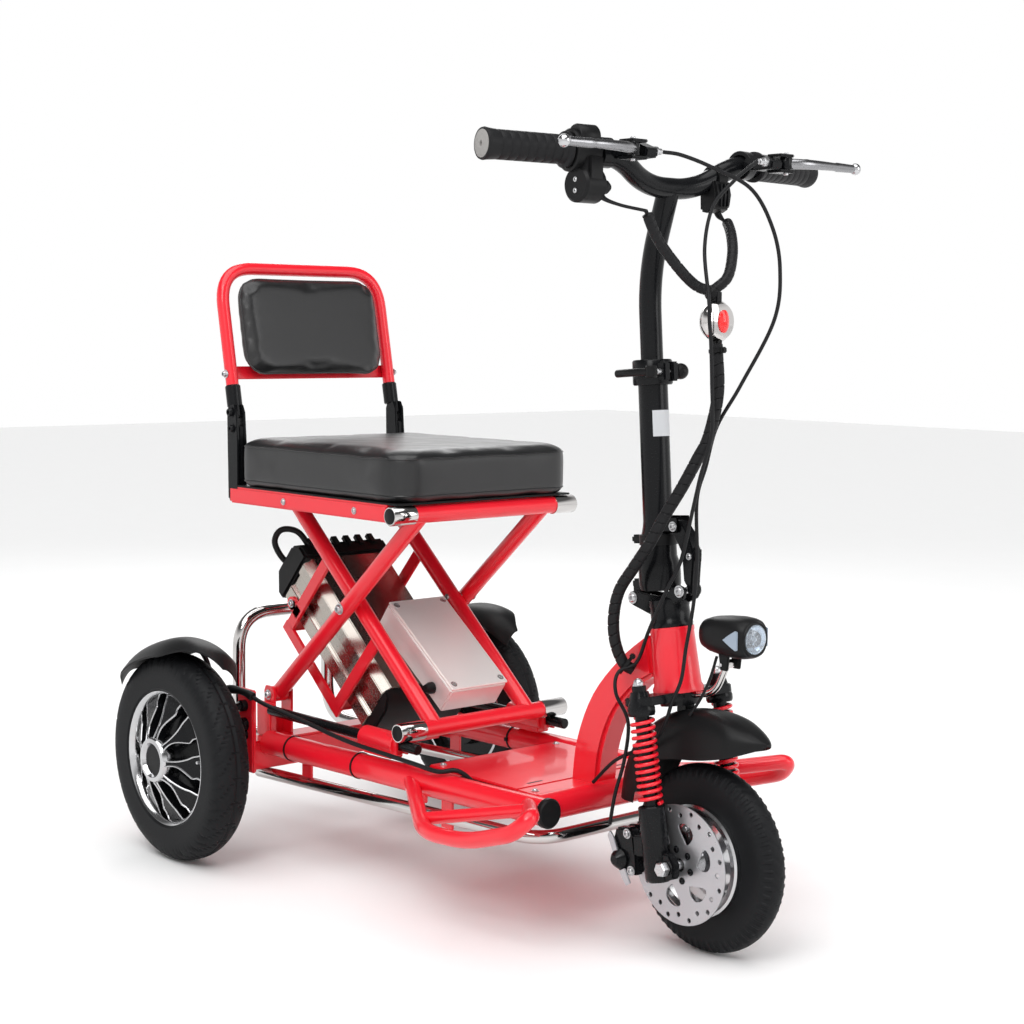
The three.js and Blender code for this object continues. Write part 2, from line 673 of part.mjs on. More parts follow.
for (const { name, y } of sides) {
  const ring = turned(
    closed([
      [SPRING.inner, SPRING.low],
      [SPRING.outer, SPRING.low],
      [SPRING.outer, SPRING.high],
      [SPRING.inner, SPRING.high],
    ]),
    20,
  );
  add("spring_" + name, ring.rotateX(Math.PI / 2).translate(LEG_X, y * FORK_HALF_WIDTH, 0), RED, fork);
}

// The wheel's axle, in the fork's frame.
const axleInFork = v3(FRONT_AXLE.x, 0, FRONT_AXLE.z).sub(STEER_BASE).applyAxisAngle(v3(0, 1, 0), RAKE);
function forkLower() {
  const parts = [];
  for (const side of [-1, 1]) {
    const y = side * FORK_HALF_WIDTH;
    parts.push(bar(v3(LEG_X, y, axleInFork.z - 18), v3(LEG_X, y, SPRING.low - GAP), LOWER_LEG, 12));
    parts.push(
      box(v3(LEG_X, y - 7, axleInFork.z - 20), v3(axleInFork.x + 14, y + 7, axleInFork.z + 22)),
    );
    parts.push(bar(v3(axleInFork.x, y - 11, axleInFork.z), v3(axleInFork.x, y + 14, axleInFork.z), 10, 6));
  }
  parts.push(bar(v3(axleInFork.x, -90, axleInFork.z), v3(axleInFork.x, 90, axleInFork.z), 6, 12));
  const bores = [-1, 1].map((side) =>
    bar(
      v3(LEG_X, side * FORK_HALF_WIDTH, SPRING.low - 52),
      v3(LEG_X, side * FORK_HALF_WIDTH, SPRING.low + 2),
      STANCHION + CLEAR,
      10,
    ),
  );
  return cut(join(...parts), ...bores);
}
add("fork_lower", forkLower(), BLACK, fork);

const DISC = { radius: 80, y: -55, half: 1, hole: 23 };
const CALLIPER_LIFT = 16; // the middle of the calliper, above the axle
function calliper() {
  const { x } = axleInFork;
  const z = axleInFork.z + CALLIPER_LIFT;
  const body = box(v3(x - 102, DISC.y - 20, z - 30), v3(x - 58, DISC.y + 12, z + 34));
  const arm = box(v3(x - 62, DISC.y - 20, z - 6), v3(LEG_X - LOWER_LEG - GAP, DISC.y - 12, z + 24));
  const gap = [
    [0, DISC.y - 3],
    [DISC.radius + 2, DISC.y - 3],
    [DISC.radius + 2, DISC.y + 3],
    [0, DISC.y + 3],
  ];
  const slot = turned(gap, 48).translate(x, 0, axleInFork.z);
  const horn = bar(v3(x - 92, DISC.y - 26, z - 8), v3(x - 92, DISC.y - 14, z - 8), 13, 12);
  return join(cut(body, slot), arm, horn);
}
add("brake_calliper", calliper(), BLACK, fork);

// The front guard is a deep hood: its crown follows the tyre, and its lower edge runs up to the nose.
const GUARD_HALF = 38;
const GUARD_SKIN = 3;
const GUARD_CROWN = [
  [536, 297],
  [511, 311],
  [477, 323],
  [443, 327],
  [400, 323],
  [365, 311],
  [334, 290],
  [310, 262],
  [295, 228],
  [289, 190],
];
const GUARD_EDGE = [
  [298, 190],
  [305, 224],
  [322, 248],
  [350, 258],
  [396, 262],
  [449, 269],
  [496, 280],
];
function frontFender() {
  const outside = plate([...GUARD_CROWN, ...GUARD_EDGE], -GUARD_HALF, GUARD_HALF);
  const lowered = GUARD_CROWN.map(([x, z]) => {
    const away = v3(x - FRONT_AXLE.x, 0, z - FRONT_AXLE.z);
    away.setLength(away.length() - GUARD_SKIN);
    return [FRONT_AXLE.x + away.x, FRONT_AXLE.z + away.z];
  });
  const under = [...lowered, [270, 180], [270, 150], [560, 150], [560, 285]];
  const inside = plate(under, -GUARD_HALF + GUARD_SKIN, GUARD_HALF - GUARD_SKIN);
  const stay = box(v3(380, -9, 318), v3(398, 9, STEER_BASE.z - 18));
  return join(cut(outside, inside), stay);
}
const crownRoom = () => box(v3(-60, -90, -15 - GAP), v3(80, 90, 40)).rotateY(-RAKE).translate(STEER_BASE.x, 0, STEER_BASE.z);
add("front_fender", cut(frontFender(), crownRoom()), BLACK);

// ---------- front wheel ----------
const wheel = groupAt(v3(FRONT_AXLE.x, 0, FRONT_AXLE.z), 0);
add("front_tyre", turned(tyreProfile(FRONT_BEAD, FRONT_RADIUS, FRONT_HALF_WIDTH)), RUBBER, wheel);
add(
  "front_hub",
  turned(
    closed([
      [6 + CLEAR, DISC.y - 2.4],
      [DISC.hole - CLEAR, DISC.y - 2.4],
      [DISC.hole - CLEAR, -26],
      [60, -14],
      [66, -27],
      [FRONT_BEAD - GAP, -29],
      [FRONT_BEAD - GAP, 29],
      [66, 27],
      [60, 14],
      [26, 22],
      [22, 52],
      [6 + CLEAR, 56],
    ]),
  ),
  ALUMINIUM,
  wheel,
);
add(
  "brake_disc",
  turned(
    closed([
      [DISC.hole, DISC.y - DISC.half],
      [DISC.radius, DISC.y - DISC.half],
      [DISC.radius, DISC.y + DISC.half],
      [DISC.hole, DISC.y + DISC.half],
    ]),
  ),
  ALUMINIUM,
  wheel,
);

// ---------- headlight ----------
const lamp = groupAt(LAMP_PIVOT, RAKE, fork);
const LAMP_SHIFT = v3(8, 0, 38);
function lampShell(profile) {
  return turned(profile, 14).rotateZ(-Math.PI / 2).scale(1, 1, 0.95);
}
function headlightBody() {
  const shell = lampShell(
    [
      [0, -40],
      [14, -38],
      [24, -28],
      [29, -8],
      [29.5, 14],
      [28, 36],
      [0, 36],
    ],
  ).translate(LAMP_SHIFT.x, 0, LAMP_SHIFT.z);
  const ears = [-14, 10].map((y) => plate([[-7, -7], [7, -7], [9, 16], [-9, 16]], y, y + 4));
  const holes = [bar(v3(0, -20, 0), v3(0, 20, 0), 3, 8)];
  return cut(join(shell, ...ears), ...holes);
}
add("headlight_body", headlightBody(), BLACK, lamp);
add(
  "headlight_lens",
  lampShell([
    [0, 36.3],
    [27, 36.3],
    [24, 44],
    [14, 49],
    [0, 51],
  ]).translate(LAMP_SHIFT.x, 0, LAMP_SHIFT.z),
  CLEAR_LENS,
  lamp,
);

// ---------- folding joint and stem ----------
function foldBase() {
  const collar = taper(HEAD_LENGTH + GAP, HEAD_LENGTH + 30, 29, 26, 14);
  const neck = taper(HEAD_LENGTH + 28, HEAD_LENGTH + 46, 25, 25, 14);
  const parts = [collar, neck];
  for (const y of [-17, 9.5]) {
    parts.push(
      plate(
        [
          [FOLD_PIVOT.x - 9, FOLD_PIVOT.z - 7],
          [FOLD_PIVOT.x + 2, FOLD_PIVOT.z - 11],
          [350, 440],
          [350, 470],
          [FOLD_PIVOT.x + 3, FOLD_PIVOT.z + 10],
          [FOLD_PIVOT.x - 8, FOLD_PIVOT.z + 7],
        ],
        y,
        y + 7.5,
      ),
    );
    parts.push(
      plate(
        [
          [350, 448],
          [LATCH_PIN.x + 6, LATCH_PIN.z - 10],
          [LATCH_PIN.x + 9, LATCH_PIN.z + 4],
          [LATCH_PIN.x - 4, LATCH_PIN.z + 8],
          [350, 468],
        ],
        y,
        y + 7.5,
      ),
    );
  }
  const top = box(v3(250, -60, 473), v3(LATCH_PIN.x - 16, 60, 560));
  const slot = box(v3(LATCH_PIN.x - 13, -9.5, LATCH_PIN.z - 14), v3(430, 9.5, 540));
  const rear = box(v3(270, -9.5, 430), v3(322, 9.5, 500));
  const pins = [FOLD_PIVOT, LATCH_PIN].map((p) => bar(atY(p, -16), atY(p, 12), 4, 8));
  return join(cut(join(...parts), top, slot, rear), ...pins);
}
add("fold_base", foldBase(), BLACK);

function foldLatch() {
  const arm = plate(
    [
      [362, 560],
      [368, 574],
      [380, 574],
      [393, 560],
      [406, 531],
      [404, 500],
      [403, 477],
      [396, 475],
      [394.5, 487],
      [388, 494],
      [386, 512],
      [383, 532],
      [370, 552],
    ],
    -9,
    9,
  );
  return cut(arm, bar(atY(LATCH_PIVOT, -20), atY(LATCH_PIVOT, 14), 4 + CLEAR, 8));
}
add("fold_latch", foldLatch(), BLACK);

// In the stem's own frame z runs up the tube from its foot.
const stem = groupAt(STEM_FOOT, -STEM_LEAN);
const inStem = (p) => p.clone().sub(STEM_FOOT).applyAxisAngle(v3(0, 1, 0), STEM_LEAN);
function stemLower() {
  const foot = new THREE.CylinderGeometry(STEM_RADIUS, 28, 82, 14).rotateX(Math.PI / 2).translate(0, 0, 39);
  const lug = join(
    box(v3(-46, -9, -23), v3(-24, 9, 6)),
    box(v3(-46, -9, -1), v3(0, 9, 12)),
  );
  const ears = [-13.5, 9.5].map((y) => box(v3(8, y, 76), v3(49, y + 4, 98)));
  const pivot = inStem(LATCH_PIVOT);
  const latchPin = bar(atY(pivot, -13), atY(pivot, 13), 4, 8);
  const rearHook = box(v3(-45, -6, 60), v3(0, 6, 72));
  const body = join(foot, bar(v3(0, 0, 1), v3(0, 0, STEM_LENGTH), STEM_RADIUS, 14), lug, ...ears, latchPin, rearHook);
  const pin = inStem(FOLD_PIVOT);
  const hole = bar(atY(pin, -20), atY(pin, 14), 4 + CLEAR, 8);
  const bore = bar(v3(0, 0, 34), v3(0, 0, STEM_LENGTH + 4), UPPER_STEM_RADIUS + CLEAR, 14);
  return cut(body, hole, bore);
}
add("stem_lower", stemLower(), BLACK, stem);

const CLAMP = { low: STEM_LENGTH - 17, high: STEM_LENGTH + 17 };
function stemClamp() {
  const ring = join(
    bar(v3(0, 0, CLAMP.low), v3(0, 0, CLAMP.high), 27, 14),
    box(v3(18, -14, CLAMP.low + 4), v3(36, 14, CLAMP.high - 4)),
    bar(v3(28, -22, STEM_LENGTH), v3(28, 34, STEM_LENGTH), 4, 8),
    bar(v3(28, 18, STEM_LENGTH), v3(28, 36, STEM_LENGTH), 11, 12),
  );
  return cut(
    ring,
    bar(v3(0, 0, CLAMP.low - 4), v3(0, 0, STEM_LENGTH + GAP), STEM_RADIUS + GAP, 14),
    bar(v3(0, 0, CLAMP.low - 4), v3(0, 0, CLAMP.high + 4), UPPER_STEM_RADIUS + CLEAR, 14),
  );
}
add("stem_clamp", stemClamp(), BLACK, stem);

function clampLever() {
  const boss = bar(v3(28, -31, STEM_LENGTH - 8), v3(28, -31, STEM_LENGTH + 8), 8, 12);
  const blade = tube(
    rounded([v3(28, -33, STEM_LENGTH), v3(-2, -40, STEM_LENGTH), v3(-30, -36, STEM_LENGTH)], 14, 3),
    5,
    8,
  );
  return join(boss, blade);
}
add("clamp_lever", clampLever(), BLACK, stem);

// ---------- upper stem and handlebar ----------
const stemDirection = v3(-Math.sin(STEM_LEAN), 0, Math.cos(STEM_LEAN));
const alongStem = (s) => STEM_FOOT.clone().addScaledVector(stemDirection, s);
const BAR_MIDDLE = v3(342, 0, BAR_HEIGHT);
const BAR_BEND = v3(356, 112, 1050);
const BAR_END = v3(320, 300, 1052);
const mirrorY = (p) => v3(p.x, -p.y, p.z);
const barLine = () => {
  const half = [v3(343, 52, BAR_HEIGHT), BAR_BEND, BAR_END];
  return rounded([...half.map(mirrorY).reverse(), ...half], 34, 3);
};
const barTube = (radius) => tube(barLine(), radius, 8);
add(
  "stem_upper",
  cut(
    tube(rounded([alongStem(142), alongStem(424), v3(BAR_MIDDLE.x - 1, 0, BAR_HEIGHT)], 44, 6), UPPER_STEM_RADIUS, 14),
    barTube(BAR_RADIUS + GAP),
  ),
  BLACK,
);

const gripDirection = BAR_END.clone().sub(BAR_BEND).normalize();
// A point beside the left grip's axis: s along it from the bend, ahead and up from it.
const onGrip = (s, ahead = 0, up = 0) => BAR_BEND.clone().addScaledVector(gripDirection, s).add(v3(ahead, 0, up));
const LEVER_PIVOT = v3(418, 146, 1050);
const rightSide = (geometry) => flip(geometry, 1);

function perch() {
  const ring = bar(onGrip(12), onGrip(30), 19.5, 8);
  const arm = box(v3(352, 118, 1038), v3(404, 140, 1062));
  const housing = box(v3(396, 108, 1038), v3(LEVER_PIVOT.x + 9, 132, 1062));
  const cheeks = [1037, 1059].map((z) => box(v3(398, 128, z), v3(LEVER_PIVOT.x + 9, 156, z + 4)));
  const pin = bar(v3(LEVER_PIVOT.x, LEVER_PIVOT.y, 1036), v3(LEVER_PIVOT.x, LEVER_PIVOT.y, 1064), 3, 8);
  const barrel = bar(v3(416, 92, 1050), v3(416, 110, 1050), 5, 8);
  return join(ring, arm, housing, ...cheeks, pin, barrel);
}
function handlebar() {
  return join(barTube(BAR_RADIUS), perch(), rightSide(perch()));
}
add("handlebar", handlebar(), BLACK);

function grip(start, end, flange) {
  const axis = (s) => onGrip(s);
  const sleeve = bar(axis(start), axis(end), 18.5, 12);
  const collar = bar(axis(start), axis(start + 6), flange, 12);
  const bore = bar(axis(start - 5), axis(end - 8), BAR_RADIUS + CLEAR, 16);
  return cut(join(sleeve, collar), bore);
}
const GRIP_END = BAR_END.distanceTo(BAR_BEND) + 9;
add("grip_left", grip(48, GRIP_END, 21), RUBBER);
add("throttle_grip", rightSide(grip(76, GRIP_END, 23)), RUBBER);

function throttleBody() {
  const ring = bar(onGrip(38), onGrip(75), 27, 12);
  const block = box(v3(338, 150, 990), v3(376, 180, 1050));
  const lobe = bar(onGrip(40, 6, 12), onGrip(70, 6, 12), 17, 8);
  return cut(join(ring, block, lobe), barTube(BAR_RADIUS + GAP), leverSweep());
}
// The room that a brake lever needs.
const leverSweep = () => box(v3(392, 100, 1030), v3(470, 320, 1070));
add("throttle_body", rightSide(throttleBody()), BLACK);

function switchBody() {
  const block = box(v3(336, 62, 984), v3(368, 96, 1036));
  const pocket = bar(v3(330, 79, 1000), v3(341, 79, 1000), 5.5, 12);
  return cut(block, barTube(BAR_RADIUS + GAP), pocket);
}
add("switch_body", switchBody(), BLACK);
add("light_button", bar(v3(331, 79, 1000), v3(337, 79, 1000), 5, 12), ORANGE);

function brakeLever() {
  const { x, y, z } = LEVER_PIVOT;
  const blade = tube(rounded([v3(x, y, z), v3(x + 16, y + 30, z), v3(x + 14, y + 128, z)], 20, 4), 6, 8);
  const ball = new THREE.SphereGeometry(8, 12, 8).translate(x + 14, y + 130, z);
  const boss = bar(v3(x, y, z - 8.5), v3(x, y, z + 8.5), 8.5, 8);
  const hole = bar(v3(x, y, z - 20), v3(x, y, z + 20), 3 + CLEAR, 8);
  return cut(join(blade, ball, boss), hole);
}
add("brake_lever_left", brakeLever(), ALUMINIUM);
add("brake_lever_right", rightSide(brakeLever()), ALUMINIUM);

// ---------- lamp on the loom, looms and brake cables ----------
const PILOT = v3(424, 6, 838);
function indicatorLight() {
  const body = turned(
    [
      [0, -14],
      [18, -14],
      [26, -4],
      [27, 6],
      [22, 12],
      [0, 15],
    ],
    20,
  ).rotateZ(-Math.PI / 2);
  return body.translate(PILOT.x, PILOT.y, PILOT.z);
}
add("indicator_light", indicatorLight(), CHROME);

// The loom hangs from the lamp, passes the right of the stem and is tied to the gooseneck.
const LOOM_RADIUS = 8;
const LOOM = [
  v3(428, 4, 809),
  v3(434, 2, 746),
  v3(430, -10, 689),
  v3(420, -20, 659),
  v3(404, -33, 619),
  v3(384, -42, 583),
  v3(364, -50, 544),
  v3(341, -54, 512),
  v3(316, -56, 478),
  v3(304, -54, 442),
  v3(303, -50, 407),
  v3(311, -42, 378),
  v3(323, -33, 368),
];
add("loom", smoothTube(LOOM, LOOM_RADIUS, 8, 22), RUBBER);

// Two sleeved leads run down from the throttle and from the switch, and meet above the lamp.
const SLEEVED_RADIUS = 8;
const THROTTLE_LEAD = [
  v3(383, -86, 979),
  v3(385, -64, 942),
  v3(397, -36, 905),
  v3(405, -12, 884),
  v3(418, 4, 877),
];
const SWITCH_LEAD = [
  v3(362, 89, 973),
  v3(372, 84, 968),
  v3(400, 60, 950),
  v3(420, 40, 925),
  v3(428, 22, 895),
  v3(418, 4, 877),
];
function switchLeads() {
  const thin = bar(v3(366, -149, 989), v3(384, -86, 979), 3.5, 8);
  const sleeves = [THROTTLE_LEAD, SWITCH_LEAD].map((line) => smoothTube(line, SLEEVED_RADIUS, 8, 9));
  return cut(join(thin, ...sleeves), barTube(BAR_RADIUS + GAP));
}
add("switch_leads", switchLeads(), RUBBER);

// The left lever works the front calliper.
const CABLE_RADIUS = 3;
const CABLE_LEFT = [
  v3(416, 90, 1050),
  v3(412, 76, 1040),
  v3(402, 60, 1023),
  v3(389, 35, 990),
  v3(400, 8, 934),
  v3(444, -30, 866),
  v3(444, -28, 838),
  v3(446, -27, 814),
  v3(440, -17, 762),
  v3(446, -22, 694),
  v3(432, -27, 636),
  v3(423, -30, 594),
  v3(409, -36, 526),
  v3(392, -44, 486),
  v3(361, -44, 429),
  v3(333, -38, 381),
  v3(318, -58, 367),
  v3(324, -68, 341),
  v3(336, -56, 302),
  v3(328, -54, 248),
  v3(320, -68, 205),
  v3(319, -79, 166),
];
// The right lever's cable bows ahead of the stem and runs on under the neck, for the rear brake.
const CABLE_RIGHT = [
  v3(416, -90, 1050),
  v3(426, -66, 1047),
  v3(442, -25, 1033),
  v3(472, 15, 1007),
  v3(494, 32, 959),
  v3(507, 34, 905),
  v3(506, 26, 840),
  v3(464, 12, 756),
  v3(426, 10, 701),
  v3(419, -2, 649),
  v3(415, -14, 604),
  v3(421, -18, 526),
  v3(420, -22, 470),
  v3(417, -32, 410),
  v3(417, -40, 369),
  v3(407, -46, 339),
  v3(399, -48, 314),
  v3(380, -47, 285),
  v3(340, -45, 262),
  v3(300, -46, 240),
  v3(258, -44, 203),
];
add("brake_cable_left", smoothTube(CABLE_LEFT, CABLE_RADIUS, 8, 44), RUBBER);
add("brake_cable_right", smoothTube(CABLE_RIGHT, CABLE_RADIUS, 8, 44), RUBBER);

// The right wheel motor's lead leaves the end of the axle and follows the side tube.
const MOTOR_LEAD = [
  v3(-400, -247, 173.6),
  v3(-392, -247, 236),
  v3(-368, -236, 262),
  v3(-335, -222, 262),
  v3(-297, -211, 248),
  v3(-229, -192, 232),
  v3(-131, -180, 215),
  v3(-33, -173, 208),
  v3(20, -168, 204),
  v3(66, -164, 201),
  v3(84, -149, 204),
  v3(93, -139, 199),
  v3(101, -130.5, 189),
];
add("motor_lead", smoothTube(MOTOR_LEAD, 3.4, 8, 26), RUBBER);

export default scooter;
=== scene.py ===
import math

import bmesh
import bpy
from mathutils import Matrix, Vector


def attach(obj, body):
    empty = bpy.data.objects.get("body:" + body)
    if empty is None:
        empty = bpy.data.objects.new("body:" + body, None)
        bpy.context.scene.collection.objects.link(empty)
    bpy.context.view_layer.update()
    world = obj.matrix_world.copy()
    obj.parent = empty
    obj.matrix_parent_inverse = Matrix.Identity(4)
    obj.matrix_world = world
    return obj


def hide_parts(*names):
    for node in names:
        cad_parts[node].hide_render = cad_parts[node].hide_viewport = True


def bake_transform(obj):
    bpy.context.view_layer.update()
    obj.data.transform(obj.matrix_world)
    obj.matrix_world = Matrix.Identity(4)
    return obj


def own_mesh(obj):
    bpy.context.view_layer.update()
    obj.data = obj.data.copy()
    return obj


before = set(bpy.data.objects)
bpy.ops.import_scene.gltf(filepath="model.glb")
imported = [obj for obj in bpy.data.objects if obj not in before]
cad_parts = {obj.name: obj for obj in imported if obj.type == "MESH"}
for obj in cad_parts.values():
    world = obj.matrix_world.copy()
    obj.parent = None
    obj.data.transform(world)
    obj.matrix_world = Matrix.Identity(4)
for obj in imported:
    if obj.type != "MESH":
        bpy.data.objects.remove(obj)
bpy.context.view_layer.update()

MM = 0.001
SHARP = math.radians(40)

# ---------------------------------------------------------------- places
REAR_AXLE = Vector((-400, 0, 161.5))
REAR_TRACK = 297.5
REAR_RADIUS = 161.5
REAR_BEAD = 108
REAR_HALF_WIDTH = 38.4
FRONT_AXLE = Vector((434.5, 0, 127))
FRONT_RADIUS = 127
FRONT_BEAD = 75.6
FRONT_HALF_WIDTH = 24.6
TYRE_SHARP = math.radians(30)
SIDE_REAR = Vector((-357, -160, 171))
SIDE_FRONT = Vector((281, -147, 180))
CROSS_X = 250
MAIN_TUBE = 19
LIFT_PIVOT = Vector((-390, 0, 240))
LIFT_TOP = Vector((-27, 0, 557))
LIFT_FOOT = Vector((-27, 0, 240))
ROLLER = Vector((-390, 0, 557))
LIFT_CROSS = (LIFT_PIVOT + LIFT_TOP) / 2
LIFT_ANGLE = math.atan2(LIFT_TOP.z - LIFT_PIVOT.z, LIFT_TOP.x - LIFT_PIVOT.x)
LIFT_TUBE = 12.7
LEG_OUT = 120
LEG_IN = 92
RAKE = math.radians(9.7)
STEER_BASE = Vector((374.6, 0, 347))
STEM_LEAN = math.radians(4.2)
STEM_FOOT = Vector((338, 0, 479))
STEM_LENGTH = 291
STEM_RADIUS = 20
STEM_BORE = 16
FOLD_PIN = Vector((303, 0, 463))
LATCH_PIN = Vector((389, 0, 481))
LATCH_PIVOT = Vector((372, 0, 566))
REST_HINGE = Vector((-448, 0, 690))
REST_LEAN = math.radians(11.3)
LAMP_CENTRE = Vector((470, 0, 430))


def placed(origin, turn):
    """The matrix of a local frame, turned about Y."""
    return Matrix.Translation(origin) @ Matrix.Rotation(turn, 4, "Y")


FORK = placed(STEER_BASE, -RAKE)
STEM = placed(STEM_FOOT, -STEM_LEAN)
INNER_LEG = placed(LIFT_CROSS, LIFT_ANGLE)
REST = placed(REST_HINGE, -REST_LEAN)
FORK_Y = 76
AXLE_IN_FORK = FORK.inverted() @ FRONT_AXLE


# ---------------------------------------------------------------- materials
def nodes_of(name):
    material = bpy.data.materials.new(name)
    material.use_nodes = True
    tree = material.node_tree
    return material, tree, tree.nodes["Principled BSDF"]


def noise(tree, scale, detail=4, stretch=(1, 1, 1)):
    place = tree.nodes.new("ShaderNodeTexCoord")
    mapping = tree.nodes.new("ShaderNodeMapping")
    mapping.inputs["Scale"].default_value = stretch
    texture = tree.nodes.new("ShaderNodeTexNoise")
    texture.inputs["Scale"].default_value = scale
    texture.inputs["Detail"].default_value = detail
    tree.links.new(place.outputs["Object"], mapping.inputs["Vector"])
    tree.links.new(mapping.outputs["Vector"], texture.inputs["Vector"])
    return texture.outputs["Fac"]


def spread(tree, value, low, high):
    """A noise value mapped from its middle range to low..high."""
    node = tree.nodes.new("ShaderNodeMapRange")
    node.inputs["From Min"].default_value = 0.3
    node.inputs["From Max"].default_value = 0.7
    node.inputs["To Min"].default_value = low
    node.inputs["To Max"].default_value = high
    tree.links.new(value, node.inputs["Value"])
    return node.outputs["Result"]


def bumped(tree, shader, height, strength, depth):
    bump = tree.nodes.new("ShaderNodeBump")
    bump.inputs["Strength"].default_value = strength
    bump.inputs["Distance"].default_value = depth
    tree.links.new(height, bump.inputs["Height"])
    tree.links.new(bump.outputs["Normal"], shader.inputs["Normal"])


def tinted(tree, shader, value, colour, change):
    mix = tree.nodes.new("ShaderNodeMix")
    mix.data_type = "RGBA"
    mix.inputs["A"].default_value = (*[c * (1 - change) for c in colour], 1)
    mix.inputs["B"].default_value = (*[min(1, c * (1 + change)) for c in colour], 1)
    tree.links.new(value, mix.inputs["Factor"])
    tree.links.new(mix.outputs["Result"], shader.inputs["Base Color"])


def surface(name, colour, roughness, metallic=0.0, coat=0.0, grain=400, strength=0.05, change=0.08,
            stretch=(1, 1, 1), spread_by=0.06, depth=0.0004):
    """A material with a little colour drift, uneven roughness and a fine grain."""
    material, tree, shader = nodes_of(name)
    shader.inputs["Metallic"].default_value = metallic
    shader.inputs["Coat Weight"].default_value = coat
    shader.inputs["Coat Roughness"].default_value = 0.06
    shader.inputs["Specular IOR Level"].default_value = 0.16 if max(colour) < 0.1 else 0.4
    cloudy = noise(tree, 9, 3)
    fine = noise(tree, grain, 5, stretch)
    tinted(tree, shader, cloudy, colour, change)
    tree.links.new(spread(tree, fine, roughness - spread_by, roughness + spread_by),
                   shader.inputs["Roughness"])
    bumped(tree, shader, fine, strength, depth)
    return material


def leatherette():
    """Black vinyl: pebbled, with soft broad unevenness."""
    material, tree, shader = nodes_of("leatherette")
    place = tree.nodes.new("ShaderNodeTexCoord")
    pebbles = tree.nodes.new("ShaderNodeTexVoronoi")
    pebbles.inputs["Scale"].default_value = 620
    pebbles.inputs["Randomness"].default_value = 0.9
    tree.links.new(place.outputs["Object"], pebbles.inputs["Vector"])
    soft = noise(tree, 26, 3)
    total = tree.nodes.new("ShaderNodeMath")
    total.operation = "MULTIPLY_ADD"
    total.inputs[1].default_value = 0.35
    tree.links.new(pebbles.outputs["Distance"], total.inputs[0])
    tree.links.new(soft, total.inputs[2])
    tinted(tree, shader, soft, (0.0075, 0.0075, 0.0082), 0.25)
    tree.links.new(spread(tree, soft, 0.33, 0.42), shader.inputs["Roughness"])
    shader.inputs["Coat Weight"].default_value = 0.15
    shader.inputs["Coat Roughness"].default_value = 0.25
    bumped(tree, shader, total.outputs["Value"], 0.22, 0.0006)
    return material


def clear_plastic():
    material, tree, shader = nodes_of("clear_plastic")
    shader.inputs["Base Color"].default_value = (0.82, 0.88, 0.95, 1)
    shader.inputs["Transmission Weight"].default_value = 0.85
    shader.inputs["IOR"].default_value = 1.45
    tree.links.new(spread(tree, noise(tree, 300), 0.03, 0.08), shader.inputs["Roughness"])
    return material


RED = surface("gloss_red_paint", (0.8, 0.008, 0.022), roughness=0.32, coat=0.5, grain=60, strength=0.01,
              change=0.03, spread_by=0.02)
BLACK = surface("satin_black_paint", (0.005, 0.0053, 0.0062), roughness=0.24, coat=0.06, grain=500,
                strength=0.008, change=0.15)
PLASTIC = surface("moulded_black_plastic", (0.008, 0.008, 0.0085), roughness=0.4, grain=900, change=0.2)
RUBBER = surface("tyre_rubber", (0.008, 0.0084, 0.0095), roughness=0.55, grain=700, strength=0.12,
                 change=0.3, depth=0.0006)
GRIP = surface("grip_rubber", (0.013, 0.013, 0.014), roughness=0.5, grain=1200, strength=0.2, change=0.2)
CHROME = surface("chrome", (0.6, 0.58, 0.57), roughness=0.08, metallic=1.0, grain=500, strength=0.006,
                 change=0.05, spread_by=0.03)
POLISHED = surface("polished_alloy", (0.56, 0.56, 0.57), roughness=0.16, metallic=1.0, grain=700,
                   strength=0.02, change=0.06)
BRUSHED = surface("brushed_aluminium", (0.9, 0.88, 0.86), roughness=0.46, metallic=0.55, grain=300,
                  strength=0.03, change=0.05, stretch=(1, 14, 1))
CASE = surface("anodised_case", (0.46, 0.42, 0.38), roughness=0.24, metallic=1.0, grain=300, strength=0.03,
               stretch=(1, 14, 1))
LEVER = surface("lever_alloy", (0.3, 0.3, 0.31), roughness=0.26, metallic=1.0, grain=600, strength=0.03,
                change=0.1)
SIDE_LENS = surface("tinted_side_lens", (0.3, 0.36, 0.44), roughness=0.12, metallic=0.3, coat=0.4,
                    strength=0.02, change=0.1)
STEEL = surface("brake_steel", (0.5, 0.5, 0.52), roughness=0.33, metallic=0.9, grain=500, strength=0.06,
                change=0.1)
ZINC = surface("zinc_bolt", (0.55, 0.55, 0.56), roughness=0.3, metallic=0.9, grain=800, change=0.1)
CABLE = surface("cable_sheath", (0.012, 0.012, 0.013), roughness=0.45, grain=1500, change=0.2)
END_DISC = surface("grey_end_disc", (0.3, 0.29, 0.28), roughness=0.5, grain=900, strength=0.1, change=0.1)
LABEL = surface("blank_label", (0.55, 0.56, 0.58), roughness=0.4, grain=900, strength=0.02, change=0.04)
ORANGE = surface("orange_button", (0.85, 0.16, 0.04), roughness=0.4, coat=0.1, grain=900, strength=0.04)
RED_LENS = surface("red_lens", (0.85, 0.015, 0.015), roughness=0.12, coat=0.6, grain=500, strength=0.03)
MIRROR = surface("lamp_reflector", (0.8, 0.85, 0.9), roughness=0.16, metallic=1.0, grain=300, change=0.05)
LEATHER = leatherette()
CLEAR = clear_plastic()


# ---------------------------------------------------------------- shapes: (points, faces) in millimetres
def route(*rows):
    return [Vector(row) for row in rows]


